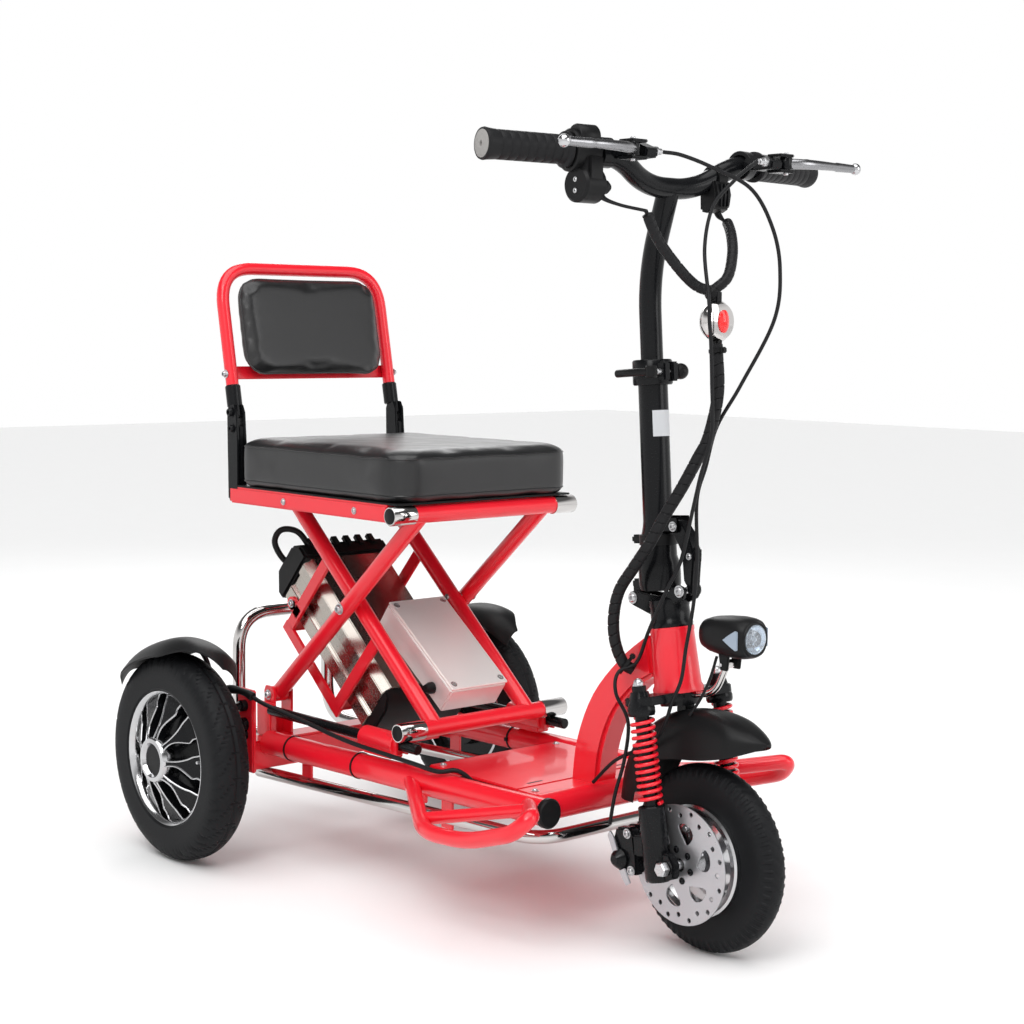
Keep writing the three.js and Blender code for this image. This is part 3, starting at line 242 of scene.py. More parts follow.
def rounded(corners, reach, steps=8):
    """A polyline with each corner rounded over the given length on each side."""
    points = [corners[0]]
    for before, corner, after in zip(corners, corners[1:], corners[2:]):
        back = before - corner
        ahead = after - corner
        r = min(reach, back.length * 0.48, ahead.length * 0.48)
        start = corner + back.normalized() * r
        end = corner + ahead.normalized() * r
        for i in range(steps + 1):
            t = i / steps
            points.append(start * (1 - t) ** 2 + corner * 2 * t * (1 - t) + end * t * t)
    points.append(corners[-1])
    return points


def smooth_path(corners, steps):
    """An even Catmull-Rom curve through the corners."""
    ends = [corners[0] * 2 - corners[1], *corners, corners[-1] * 2 - corners[-2]]
    fine = []
    for a, b, c, d in zip(ends, ends[1:], ends[2:], ends[3:]):
        for i in range(20):
            t = i / 20
            fine.append(0.5 * (2 * b + (c - a) * t + (2 * a - 5 * b + 4 * c - d) * t**2
                               + (3 * b - a - 3 * c + d) * t**3))
    fine.append(corners[-1])
    lengths = [0.0]
    for a, b in zip(fine, fine[1:]):
        lengths.append(lengths[-1] + (b - a).length)
    even = []
    j = 0
    for i in range(steps + 1):
        want = lengths[-1] * i / steps
        while j < len(fine) - 2 and lengths[j + 1] < want:
            j += 1
        t = (want - lengths[j]) / max(lengths[j + 1] - lengths[j], 1e-9)
        even.append(fine[j].lerp(fine[j + 1], min(max(t, 0), 1)))
    return even


def tube(path, radius, seg=20, edge=1.0):
    """A round bar along a path. The radius may be a function of the distance and the angle round it."""
    size = radius if callable(radius) else (lambda s, a: radius)
    last = len(path) - 1
    directions = []
    for i in range(last + 1):
        d = Vector((0, 0, 0))
        if i > 0:
            d += (path[i] - path[i - 1]).normalized()
        if i < last:
            d += (path[i + 1] - path[i]).normalized()
        directions.append(d.normalized())
    rings = [(path[0], 0, 0, True)]
    travelled = 0.0
    for i in range(last + 1):
        if i:
            travelled += (path[i] - path[i - 1]).length
        shift = directions[i] * (edge if i == 0 else -edge if i == last else 0)
        rings.append((path[i] + shift, i, travelled, False))
    rings.append((path[last], last, travelled, True))
    side = directions[0].orthogonal().normalized()
    points = []
    for centre, i, s, small in rings:
        along = directions[i]
        side = (side - along * side.dot(along)).normalized()
        up = along.cross(side)
        for k in range(seg):
            a = 2 * math.pi * k / seg
            r = size(s, a) - (edge if small else 0)
            points.append(centre + side * (r * math.cos(a)) + up * (r * math.sin(a)))
    faces = []
    for i in range(len(rings) - 1):
        for k in range(seg):
            n = (k + 1) % seg
            faces.append((i * seg + k, i * seg + n, (i + 1) * seg + n, (i + 1) * seg + k))
    faces.append(tuple(range(seg))[::-1])
    faces.append(tuple((len(rings) - 1) * seg + k for k in range(seg)))
    return points, faces


def bar(a, b, radius, seg=20, edge=1.0):
    """A straight round bar between two points."""
    return tube(route(a, b), radius, seg, edge)


def lathe(profile, seg=64, shape=None):
    """A profile of (radius, height) turned about Z. It is a closed loop unless it ends on the axis."""
    loop = not (profile[0][0] == 0 and profile[-1][0] == 0)
    points, rows = [], []
    for r, h in profile:
        if r == 0:
            rows.append([len(points)] * seg)
            points.append(Vector((0, 0, h)))
            continue
        rows.append(list(range(len(points), len(points) + seg)))
        for k in range(seg):
            a = 2 * math.pi * k / seg
            rr = r + (shape(a, r, h) if shape else 0)
            points.append(Vector((rr * math.cos(a), rr * math.sin(a), h)))
    if loop:
        rows.append(rows[0])
    faces = []
    for low, high in zip(rows, rows[1:]):
        for k in range(seg):
            n = (k + 1) % seg
            corners = [low[k], low[n], high[n], high[k]]
            face = [c for i, c in enumerate(corners) if c not in corners[:i]]
            if len(face) > 2:
                faces.append(tuple(face))
    return points, faces


def from_bmesh(bm):
    bm.verts.ensure_lookup_table()
    shape = [v.co.copy() for v in bm.verts], [tuple(v.index for v in f.verts) for f in bm.faces]
    bm.free()
    return shape


def bevelled(bm, width, steps=2):
    bm.verts.index_update()
    if width:
        sharp = [e for e in bm.edges if e.is_manifold and e.calc_face_angle(0) > 0.5]
        bmesh.ops.bevel(bm, geom=sharp, offset=width, segments=steps, affect="EDGES", clamp_overlap=True)
    bm.verts.index_update()
    return from_bmesh(bm)


def block(low, high, edge=1.0):
    bm = bmesh.new()
    bmesh.ops.create_cube(bm, size=1)
    low, high = Vector(low), Vector(high)
    for v in bm.verts:
        v.co = Vector(((low[i] + high[i]) / 2 + v.co[i] * (high[i] - low[i]) for i in range(3)))
    return bevelled(bm, edge)


def prism(outline, y0, y1, edge=0.6):
    """An outline of (x, z) points, as a plate between two values of y."""
    bm = bmesh.new()
    low = [bm.verts.new((x, y0, z)) for x, z in outline]
    high = [bm.verts.new((x, y1, z)) for x, z in outline]
    bm.faces.new(low)
    bm.faces.new(high[::-1])
    for i in range(len(outline)):
        j = (i + 1) % len(outline)
        bm.faces.new((low[i], high[i], high[j], low[j]))
    bmesh.ops.recalc_face_normals(bm, faces=bm.faces)
    return bevelled(bm, edge)


def flat(outline, holes, half, edge=0.25):
    """A flat plate in the XY plane with holes through it."""
    curve = bpy.data.curves.new("flat", "CURVE")
    curve.dimensions = "2D"
    curve.fill_mode = "BOTH"
    curve.extrude = half - edge
    curve.bevel_depth = edge
    curve.offset = -edge
    for loop in [outline, *holes]:
        spline = curve.splines.new("POLY")
        spline.points.add(len(loop) - 1)
        spline.use_cyclic_u = True
        for point, (x, y) in zip(spline.points, loop):
            point.co = (x, y, 0, 1)
    holder = bpy.data.objects.new("flat", curve)
    bpy.context.scene.collection.objects.link(holder)
    mesh = bpy.data.meshes.new_from_object(holder.evaluated_get(bpy.context.evaluated_depsgraph_get()))
    shape = [v.co.copy() for v in mesh.vertices], [tuple(f.vertices) for f in mesh.polygons]
    bpy.data.objects.remove(holder)
    bpy.data.curves.remove(curve)
    bpy.data.meshes.remove(mesh)
    return shape


def circle(r, count=48, x=0, y=0):
    return [(x + r * math.cos(2 * math.pi * i / count),
             y + r * math.sin(2 * math.pi * i / count)) for i in range(count)]


def ball(centre, radius, seg=24):
    steps = 12
    profile = [(radius * math.sin(math.pi * i / steps),
                -radius * math.cos(math.pi * i / steps)) for i in range(steps + 1)]
    profile[0] = (0, -radius)
    profile[-1] = (0, radius)
    return at(lathe(profile, seg), Matrix.Translation(centre))


def at(shape, matrix):
    return [matrix @ p for p in shape[0]], shape[1]


def flip(shape, side=1):
    """The shape on the right, or its mirror image on the left."""
    if side < 0:
        return shape
    return [Vector((p.x, -p.y, p.z)) for p in shape[0]], [f[::-1] for f in shape[1]]


def painted(shapes, material):
    return [(shape, material) for shape in shapes]


def repainted(parts, material):
    return [(shape, material) for shape, _ in parts]


def moved(parts, matrix):
    return [(at(shape, matrix), material) for shape, material in parts]


def flipped(parts, side=1):
    return [(flip(shape, side), material) for shape, material in parts]


TO_Y = Matrix.Rotation(math.radians(-90), 4, "X")  # turns the Z axis to +Y
TO_MINUS_Y = Matrix.Rotation(math.radians(90), 4, "X")  # turns the Z axis to -Y
TO_X = Matrix.Rotation(math.radians(90), 4, "Y")  # turns the Z axis to +X
SIDES = (("right", -1), ("left", 1))


def spun(turns):
    """A turn about Z, in parts of a whole turn."""
    return Matrix.Rotation(2 * math.pi * turns, 4, "Z")


def swapped(shape, order):
    """The shape with its axes in another order, such as "xzy"."""
    return [Vector([getattr(p, axis) for axis in order]) for p in shape[0]], shape[1]


def piece(name, body, nodes, parts, sharp=SHARP):
    """One object made of (shape, material) parts. It rides on a body and stands for the CAD nodes."""
    points, faces, finishes, materials = [], [], [], []
    for shape, material in parts:
        if material not in materials:
            materials.append(material)
        start = len(points)
        points += [tuple(p * MM) for p in shape[0]]
        faces += [tuple(i + start for i in f) for f in shape[1]]
        finishes += [materials.index(material)] * len(shape[1])
    mesh = bpy.data.meshes.new(name)
    mesh.from_pydata(points, [], faces)
    for material in materials:
        mesh.materials.append(material)
    mesh.polygons.foreach_set("material_index", finishes)
    bm = bmesh.new()
    bm.from_mesh(mesh)
    bmesh.ops.recalc_face_normals(bm, faces=bm.faces)
    bm.to_mesh(mesh)
    bm.free()
    mesh.shade_smooth()
    mesh.set_sharp_from_angle(angle=sharp)
    obj = bpy.data.objects.new(name, mesh)
    bpy.context.scene.collection.objects.link(obj)
    if body:
        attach(obj, body)
    if nodes:
        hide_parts(*nodes)
    return obj


def skin(node, body, parts, sharp=SHARP):
    """A piece that stands for one CAD node, named after it."""
    return piece(node + "_skin", body, [node], parts, sharp)


def bolt(centre, direction, radius=5, height=4):
    """A domed hexagon-socket bolt head on a washer, standing out along a direction."""
    turn = Vector(direction).normalized().to_track_quat("Z", "Y").to_matrix().to_4x4()
    place = Matrix.Translation(Vector(centre)) @ turn
    washer = lathe([(0, 0), (radius * 1.35, 0), (radius * 1.35, 1), (0, 1)], 24)
    head = lathe([(0, 1), (radius, 1), (radius, height * 0.6), (radius * 0.75, height),
                  (radius * 0.45, height), (radius * 0.4, height * 0.45), (0, height * 0.45)], 24)
    return [(at(washer, place), ZINC), (at(head, place), ZINC)]


# ---------------------------------------------------------------- camera, floor and light
CAMERA = Vector((2117.5, -1857.3, 826.2)) * MM
HEADING = math.radians(48.27)
PITCH = math.radians(5.48)
ROLL = math.radians(0.54)


def make_camera():
    forward = Vector((-math.sin(HEADING) * math.cos(PITCH), math.cos(HEADING) * math.cos(PITCH),
                      -math.sin(PITCH)))
    level = Vector((math.cos(HEADING), math.sin(HEADING), 0))
    upright = level.cross(forward)
    right = level * math.cos(ROLL) + upright * math.sin(ROLL)
    up = upright * math.cos(ROLL) - level * math.sin(ROLL)
    data = bpy.data.cameras.new("camera")
    data.lens = 67.2
    data.sensor_width = 36
    camera = bpy.data.objects.new("camera", data)
    bpy.context.scene.collection.objects.link(camera)
    camera.matrix_world = Matrix.Translation(CAMERA) @ Matrix((right, up, -forward)).transposed().to_4x4()
    bpy.context.scene.camera = camera


def area_light(name, place, size, power, target=(0, 0, 0.5)):
    data = bpy.data.lights.new(name, "AREA")
    data.shape = "RECTANGLE"
    data.size, data.size_y = size
    data.energy = power
    light = bpy.data.objects.new(name, data)
    bpy.context.scene.collection.objects.link(light)
    aim = Vector(target) - Vector(place)
    light.matrix_world = Matrix.Translation(place) @ aim.to_track_quat("-Z", "Y").to_matrix().to_4x4()


def make_floor():
    half = 12
    mesh = bpy.data.meshes.new("floor")
    mesh.from_pydata([(-half, -half, 0), (half, -half, 0), (half, half, 0), (-half, half, 0)], [],
                     [(0, 1, 2, 3)])
    mesh.materials.append(surface("pale_floor", (0.9, 0.9, 0.9), roughness=0.7, grain=60, strength=0.01,
                                  change=0.01))
    floor = bpy.data.objects.new("floor", mesh)
    bpy.context.scene.collection.objects.link(floor)


def make_world():
    """White walls under a darker ceiling: chrome and black paint need something dark to mirror."""
    world = bpy.data.worlds.new("studio")
    bpy.context.scene.world = world
    world.use_nodes = True
    tree = world.node_tree
    background = tree.nodes["Background"]
    background.inputs["Strength"].default_value = 1.0
    place = tree.nodes.new("ShaderNodeTexCoord")
    split = tree.nodes.new("ShaderNodeSeparateXYZ")
    ramp = tree.nodes.new("ShaderNodeValToRGB")
    walls, ceiling = ramp.color_ramp.elements
    walls.position = 0.22
    walls.color = (1, 1, 1, 1)
    ceiling.position = 0.5
    ceiling.color = (0.12, 0.12, 0.12, 1)
    tree.links.new(place.outputs["Generated"], split.inputs["Vector"])
    tree.links.new(split.outputs["Z"], ramp.inputs["Fac"])
    tree.links.new(ramp.outputs["Color"], background.inputs["Color"])


def make_lights():
    area_light("key", (1.6, -2.6, 3.0), (1.6, 1.6), 45)
    area_light("fill", (3.2, 1.4, 1.8), (1.4, 2.0), 25)
    area_light("back", (-2.6, 1.8, 2.4), (1.6, 1.6), 25)
    data = bpy.data.lights.new("ceiling", "SUN")
    data.energy = 2.5
    data.angle = math.radians(70)
    ceiling = bpy.data.objects.new("ceiling", data)
    bpy.context.scene.collection.objects.link(ceiling)
    ceiling.rotation_euler = (math.radians(12), math.radians(10), 0)


make_camera()
make_floor()
make_world()
make_lights()
bpy.context.scene.view_settings.view_transform = "Standard"


# ---------------------------------------------------------------- main frame
TIE_X = -292, -125
DECK_LOW, DECK_TOP = 190, 194
DECK_HALF = 126
LOOP_TUBE, LOOP_BRACE, LOOP_STUB = 11, 9, 6
LOOP_CORNERS = [(-14, -150, 179), (158, -264, 150), (250, -266, 156), (338, -264, 184), (360, -252, 208),
                (240, -148, 184)]
UNDER_TUBE, HOOP_TUBE = 9.5, 11
UNDER_Y, HOOP_Y = 150, 91
HOOP_REAR, HOOP_LOW, HOOP_TOP = -546, 152, 348


def side_tube(side):
    tail = SIDE_FRONT - SIDE_REAR
    cap_start = SIDE_FRONT - tail.normalized() * 8
    body = bar(SIDE_REAR, cap_start, MAIN_TUBE, 40, 0.6)
    cap = bar(cap_start, SIDE_FRONT + tail.normalized() * 3, MAIN_TUBE + 1.6, 40, 2.2)
    parts = [(flip(body, side), RED), (flip(cap, side), PLASTIC)]
    for x in TIE_X:
        centre = SIDE_REAR.lerp(SIDE_FRONT, (x - SIDE_REAR.x) / tail.x)
        tie = lathe([(MAIN_TUBE - 0.6, -1.6), (MAIN_TUBE + 1.2, -1.6), (MAIN_TUBE + 1.2, 1.6),
                     (MAIN_TUBE - 0.6, 1.6)], 40)
        head = block((-3, 17, -3), (3, 23, 3), 0.6)
        place = Matrix.Translation(centre) @ TO_X
        parts += [(flip(at(tie, place), side), PLASTIC),
                  (flip(at(head, Matrix.Translation(centre)), -side), PLASTIC)]
    return parts


def rear_beam():
    """The square beam with its axle flanges, the ears of the lift and the plates behind the wheels."""
    half = 196
    parts = [(block((-404, -half, 129), (-358, half, 175), 4), RED)]
    axle = REAR_AXLE
    flange = [(axle.x - 34, axle.z - 30), (axle.x + 40, axle.z - 30), (axle.x + 40, axle.z + 46),
              (axle.x + 22, axle.z + 76), (axle.x - 22, axle.z + 76), (axle.x - 34, axle.z + 46)]
    ear = [(-403, 170), (-375, 170), (-375, 246), (-381, 254), (-399, 254), (-403, 246)]
    for _, side in SIDES:
        shapes = [prism(flange, -234, -226, 1.5), block((-422, -230, 133.5), (-362, -190, 171.5), 2)]
        shapes += [prism(ear, -low, -high, 0.8) for low, high in ((105.8, 101.3), (138.7, 134.2))]
        shapes.append(block((-403, -138, 170), (-399, -102, 206), 1))
        shapes.append(block((-378, -206, 131), (-336, -198, 262), 2))
        parts += flipped(painted(shapes, RED), side)
        stub = bar((axle.x, -338, axle.z), (axle.x, -180, axle.z), 8, 24)
        parts.append((flip(stub, side), ZINC))
        for z, r in ((axle.z, 12), (axle.z + 32, 7), (axle.z + 56, 7)):
            nut = at(lathe([(0, 0), (r, 0), (r, 8), (r * 0.8, 10), (r * 0.55, 16), (0, 16)],
                           6 if r > 10 else 24), TO_Y)
            place = Matrix.Translation((axle.x + (0 if r > 10 else 10), -226, z))
            parts.append((flip(at(nut, place), side), BLACK))
        for z, r in ((236, 9), (206, 11), (190, 9)):
            nut = at(lathe([(0, 0), (r, 0), (r, 9), (r * 0.7, 11), (5, 18), (0, 18)], 24), TO_MINUS_Y)
            parts.append((flip(at(nut, Matrix.Translation((-357, -206, z))), side), BLACK))
        parts.append((flip(block((-396, -half - 0.4, 137), (-366, -half + 0.4, 167), 0.2), side), BLACK))
        parts += flipped(bolt((LIFT_PIVOT.x, -139, LIFT_PIVOT.z), (0, -1, 0), 6, 5), side)
    return parts


def deck_plate():
    plate = block((0, -DECK_HALF, DECK_LOW), (192, DECK_HALF, DECK_TOP), 1.2)
    lip = block((0, -DECK_HALF, DECK_LOW - 22), (4, DECK_HALF, DECK_TOP), 1.2)
    parts = painted([plate, lip], RED)
    for y in (-80, 80):
        parts.append((block((176, y - 14, DECK_TOP - 0.4), (180, y + 14, DECK_TOP + 0.2), 0.1), PLASTIC))
    for y in (-112, 112):
        parts += bolt((16, y, DECK_TOP), (0, 0, 1), 4, 3)
    return parts


def gooseneck():
    """A flat-sided box section that curves from the deck up to the head tube."""
    rear = route((186, 0, 181), (196, 0, 250), (228, 0, 320), (282, 0, 378), (334, 0, 417))
    front = route((240, 0, 181), (247, 0, 240), (270, 0, 296), (308, 0, 338), (346, 0, 362))
    outline = smooth_path(rear, 16) + smooth_path(front, 16)[::-1]
    neck = prism([(p.x, p.z) for p in outline], -21, 21, 5)
    foot = block((192.3, -DECK_HALF, 189), (230.7, DECK_HALF, 193), 1.2)
    return [(neck, RED), (foot, RED), (head_tube(), RED)] + bolt((214, -112, 193), (0, 0, 1), 4, 3)


def head_tube():
    profile = [(17, -5), (34, -5), (34.5, 1), (32, 6), (29.6, 76), (30.4, 78), (30.4, 83), (17, 83)]
    return at(lathe(profile, 56), FORK)


def foot_loop():
    rim = tube(rounded(route(*LOOP_CORNERS), 34, 10), LOOP_TUBE, 28)
    brace = bar((120, -239, 156), (292, -194, 195), LOOP_BRACE, 24)
    stub = bar((33, -162, 150), (33, -162, 175), LOOP_STUB)
    return rim, brace, stub


for name, side in SIDES:
    skin("side_tube_" + name, "frame", side_tube(side))
    skin("foot_loop_" + name, "frame", flipped(painted(foot_loop(), RED), side))
skin("front_cross_tube", "frame",
     [(bar((CROSS_X, -140, 180), (CROSS_X, 140, 180), MAIN_TUBE, 40), RED)])
skin("rear_beam", "frame", rear_beam())
skin("deck_plate", "frame", deck_plate())
skin("gooseneck", "frame", gooseneck())


def under_rail():
    """A chrome U under the deck, on four red straps."""
    corners = route((-400, -UNDER_Y, 116), (264, -UNDER_Y, 141), (264, UNDER_Y, 141), (-400, UNDER_Y, 116))
    parts = [(tube(rounded(corners, 50, 12), UNDER_TUBE, 28), CHROME)]
    for y in (-UNDER_Y, UNDER_Y):
        for x in (-280, 60):
            parts.append((block((x, y - 2, 118), (x + 24, y + 2, 164), 0.5), RED))
    return parts


def carry_hoop():
    corners = route((-404, -HOOP_Y, HOOP_LOW), (HOOP_REAR, -HOOP_Y, HOOP_LOW),
                    (HOOP_REAR, -HOOP_Y, HOOP_TOP), (HOOP_REAR, HOOP_Y, HOOP_TOP),
                    (HOOP_REAR, HOOP_Y, HOOP_LOW), (-404, HOOP_Y, HOOP_LOW))
    return tube(rounded(corners, 62, 12), HOOP_TUBE, 28)


skin("under_rail", "frame", under_rail())
skin("carry_hoop", "frame", [(carry_hoop(), CHROME)])

ROD_Y, ROD_Z = 146, 218
for name, side in SIDES:
    rod = bar((-374, -ROD_Y, ROD_Z), (0, -ROD_Y, ROD_Z), 8, 28, 1.5)
    post = block((-404, -152.5, 175.3), (-366, -139.5, 229), 2)
    skin("slide_rod_" + name, "frame", [(flip(rod, side), BLACK), (flip(post, side), RED)])


# ---------------------------------------------------------------- sliders
def slider():
    barrel = lathe([(8.6, 0), (15.5, 0), (17, 1.5), (17, 78.5), (15.5, 80), (8.6, 80)], 40)
    shapes = [at(barrel, Matrix.Translation((-125, -ROD_Y, ROD_Z)) @ TO_X)]
    shapes.append(block((-117, -158, 197), (-50, -134, 208), 1.5))
    cheek = [(-60, 204), (-36, 204), (-36, 228), (-44, 236), (-60, 236)]
    shapes += [prism(cheek, -158, -154, 0.8), prism(cheek, -138.5, -134.5, 0.8)]
    return shapes


for name, side in SIDES:
    skin("slider_" + name, "sliders", flipped(painted(slider(), RED), side))


# ---------------------------------------------------------------- scissor lift
def sleeve(centre, inner, outer, side):
    """The polished end of a bar, with its black plug."""
    metal = at(lathe([(12, inner), (14, inner), (14, outer - 1.5), (13, outer), (11.5, outer),
                      (11.5, outer - 3), (12, inner + 1)], 40), TO_Y)
    plug = at(lathe([(0, outer - 3), (11.4, outer - 3), (11.4, outer + 0.5), (9, outer + 1.6),
                     (0, outer + 1.6)], 40), TO_Y)
    place = Matrix.Translation(centre)
    return [(flip(at(metal, place), -side), CHROME), (flip(at(plug, place), -side), PLASTIC)]


def off(point, y):
    return Vector((point.x, y, point.z))


def outer_lift():
    parts = [(bar(off(LIFT_TOP, -139), off(LIFT_TOP, 139), LIFT_TUBE, 36), RED)]
    for side in (-1, 1):
        y = side * LEG_OUT
        parts.append((bar(off(LIFT_PIVOT, y), off(LIFT_TOP, y), LIFT_TUBE, 36), RED))
        eye = at(lathe([(5.5, -12.7), (11.5, -12.7), (12.7, -11.5), (12.7, 11.5), (11.5, 12.7),
                        (5.5, 12.7)], 36), TO_Y)
        parts.append((at(eye, Matrix.Translation(off(LIFT_PIVOT, y))), RED))
        parts += sleeve(off(LIFT_TOP, 0), 137, 179, -side)
        parts += bolt(off(LIFT_CROSS, side * (LEG_OUT + LIFT_TUBE)), (0, side, 0), 6.5, 6)
        parts.append((bar(off(LIFT_CROSS, side * 78), off(LIFT_CROSS, side * 118), 5, 20), ZINC))
    return parts


CRADLE = 162  # how far the battery's tray hangs under the inner legs
HANGERS = -106, 62


def inner_lift():
    parts = [(bar(off(LIFT_FOOT, -119), off(LIFT_FOOT, 119), LIFT_TUBE, 36), RED),
             (bar(off(ROLLER, -147), off(ROLLER, 147), 8, 24), BLACK)]
    for side in (-1, 1):
        y = side * LEG_IN
        parts.append((bar(off(LIFT_FOOT, y), off(ROLLER, y), LIFT_TUBE, 36), RED))
        parts += sleeve(off(LIFT_FOOT, 0), 117, 163.5, -side)
        local = [block((b - 10, y - 3, -CRADLE), (b + 10, y + 3, 2), 0.8) for b in HANGERS]
        local.append(block((-118, y - 3, -CRADLE - 16), (74, y + 3, -CRADLE + 2), 0.8))
        lug = lathe([(0, -3), (11, -3), (11, 3), (0, 3)], 32)
        local.append(at(lug, Matrix.Translation((-126, y, -130)) @ TO_Y))
        local.append(block((-126, y - 3, -140), (-100, y + 3, -120), 0.8))
        parts += moved(painted(local, RED), INNER_LEG)
        for s, m in bolt((-126, y + side * 3, -130), (0, side, 0), 5, 4):
            parts.append((at(s, INNER_LEG), m))
    for b in HANGERS:
        parts.append((at(block((b - 9, -LEG_IN, -CRADLE - 4), (b + 9, LEG_IN, -CRADLE - 1), 0.6),
                         INNER_LEG), RED))
    return parts


piece("outer_lift_skin", "outer_lift", ["outer_lift_frame"], outer_lift())
piece("inner_lift_skin", "inner_lift", ["inner_lift_frame"], inner_lift())


# ---------------------------------------------------------------- battery and controller
CASE_TOP, CASE_FOOT = -156, 118  # along the inner legs
CASE_NEAR, CASE_FAR = -58, -154  # across them, towards the legs and away
CASE_HALF = 84
FIN_COUNT, FIN_STEP = 6, 24


def battery_case():
    """An extruded case: its ribs and grooves run along it."""
    half = CASE_HALF
    mid = (CASE_NEAR + CASE_FAR) / 2
    right = [(half - 8, CASE_FAR), (half, CASE_FAR + 8), (half, mid - 16), (half - 5, mid - 12),
             (half - 5, mid + 12), (half, mid + 16), (half, CASE_NEAR - 12), (half - 12, CASE_NEAR)]
    left = [(-y, n) for y, n in right[::-1]]
    swap = Matrix(((0, 1, 0, 0), (1, 0, 0, 0), (0, 0, 1, 0), (0, 0, 0, 1)))
    return at(prism(right + left, CASE_TOP, CASE_FOOT, 1.2), INNER_LEG @ swap)


def battery_foot():
    low = CASE_FOOT
    outline = [(low + 0.4, CASE_FAR), (low + 0.4, CASE_NEAR), (low + 14, CASE_NEAR - 6), (low + 24, -84),
               (low + 24, -146), (low + 18, CASE_FAR)]
    return at(prism(outline, -CASE_HALF, CASE_HALF, 3), INNER_LEG)


def battery_cap():
    """A moulded cap with cooling fins and a carrying handle."""
    top = CASE_TOP
    half = CASE_HALF + 2
    outline = [(top - 0.4, -156), (top - 0.4, -54), (top - 26, -54), (top - 41, -72), (top - 41, -128),
               (top - 16, -156)]
    shapes = [prism(outline, -half, half, 4)]
    for i in range(FIN_COUNT):
        y = FIN_STEP * (i - (FIN_COUNT - 1) / 2)
        shapes.append(block((top - 38, y - 6, -60), (top - 16, y + 6, -50.5), 2))
    corners = route((top - 20, -60, -110), (top - 42, -84, -104), (top - 66, -96, -88),
                    (top - 72, -90, -66), (top - 52, -74, -52), (top - 20, -56, -66))
    shapes.append(tube(smooth_path(corners, 40), 5, 18))
    return moved(painted(shapes, PLASTIC), INNER_LEG)


def controller():
    place = placed(INNER_LEG @ Vector((110, 0, 4)), LIFT_ANGLE - math.radians(4.5))
    parts = [(at(block((-96, -55, -24), (96, 55, 19), 2.4), place), BRUSHED),
             (at(block((-96, -55, 20), (96, 55, 24), 1.2), place), BRUSHED)]
    for x in (-86, 86):
        for y in (-46, 46):
            recess = lathe([(0, 0), (5, 0), (5, 0.5), (3.4, 0.5), (3, -0.4), (0, -0.4)], 24)
            parts.append((at(recess, place @ Matrix.Translation((x, y, 24))), ZINC))
    gland = lathe([(0, 0), (9, 0), (9, 6), (6, 14), (0, 14)], 24)
    gland_place = place @ Matrix.Translation((60, -55, -8)) @ TO_MINUS_Y
    parts.append((at(gland, gland_place), PLASTIC))
    return parts


skin("battery_case", "inner_lift", [(battery_case(), CASE), (battery_foot(), PLASTIC)])
skin("battery_cap", "inner_lift", battery_cap())
piece("controller_skin", "inner_lift", ["controller_case"], controller())


# ---------------------------------------------------------------- seat
RAIL_Y = 160
RAIL_LOW, RAIL_TOP = 546, 571.7
CHEEK = [(-457, 552), (-430, 552), (-430, 640), (-434, 690), (-440, 702), (-455, 702), (-460, 690),
         (-459, 640)]


def seat_frame():
    """Two rails, a front bar, the board under the cushion and the black hinge brackets."""
    parts = []
    for side in (-1, 1):
        y = side * RAIL_Y
        parts.append((block((-450, y - 12, RAIL_LOW), (-42.5, y + 12, RAIL_TOP), 3), RED))
        parts.append((block((-452.5, y - 10, RAIL_LOW + 2), (-449.8, y + 10, RAIL_TOP - 2), 1), PLASTIC))
        for x in (-300, -120):
            parts += bolt((x, y + side * 12, RAIL_LOW + 12), (0, side, 0), 4, 3)
        for low, high in ((-9.4, -5), (5, 9)):
            parts.append((prism(CHEEK, y + low, y + high, 1), BLACK))
        parts.append((block((-456, y - 5, 560), (-432, y + 5, 668), 2), BLACK))
        for ahead, drop, radius in ((0, 0, 7), (3, 26, 6)):
            spot = (REST_HINGE.x + ahead, y + side * 9, REST_HINGE.z - drop)
            parts += repainted(bolt(spot, (0, side, 0), radius, radius - 1), BLACK)
    parts.append((block((-66, -150, RAIL_LOW + 21), (-42.6, 150, RAIL_TOP), 1.5), RED))
    parts.append((block((-444, -170, RAIL_TOP), (-21, 170, RAIL_TOP + 3), 1), PLASTIC))
    return parts


skin("seat_frame", "seat", seat_frame())


def backrest_frame():
    corners = route((-4, -158, 20), (-4, -158, 234), (-4, 158, 234), (-4, 158, 20))
    parts = [(tube(rounded(corners, 62, 12), 10.2, 28), RED),
             (block((-18, -158, 55), (-13, 158, 76), 1.5), RED)]
    for side in (-1, 1):
        y = side * RAIL_Y
        parts.append((block((-11, y - 4, -9), (8, y + 4, 34), 2), BLACK))
        parts.append((bar((-4, side * 158, 8), (-4, side * 158, 44), 12.2, 28, 2), BLACK))
        parts += bolt((-4, side * 168, 62), (0, side, 0), 5, 6)
    return moved(parts, REST)


skin("backrest_frame", "backrest", backrest_frame())


# ---------------------------------------------------------------- upholstery
def rounded_rectangle(x0, x1, half, corner_low, corner_high, steps=10):
    """Corners listed once round, with arcs of two radii: at the low-x end and at the high-x end."""
    points = []
    for cx, cy, r, start in ((x1 - corner_high, half - corner_high, corner_high, 0),
                             (x0 + corner_low, half - corner_low, corner_low, 90),
                             (x0 + corner_low, -half + corner_low, corner_low, 180),
                             (x1 - corner_high, -half + corner_high, corner_high, 270)):
        for i in range(steps + 1):
            a = math.radians(start + 90 * i / steps)
            points.append((cx + r * math.cos(a), cy + r * math.sin(a)))
    return points


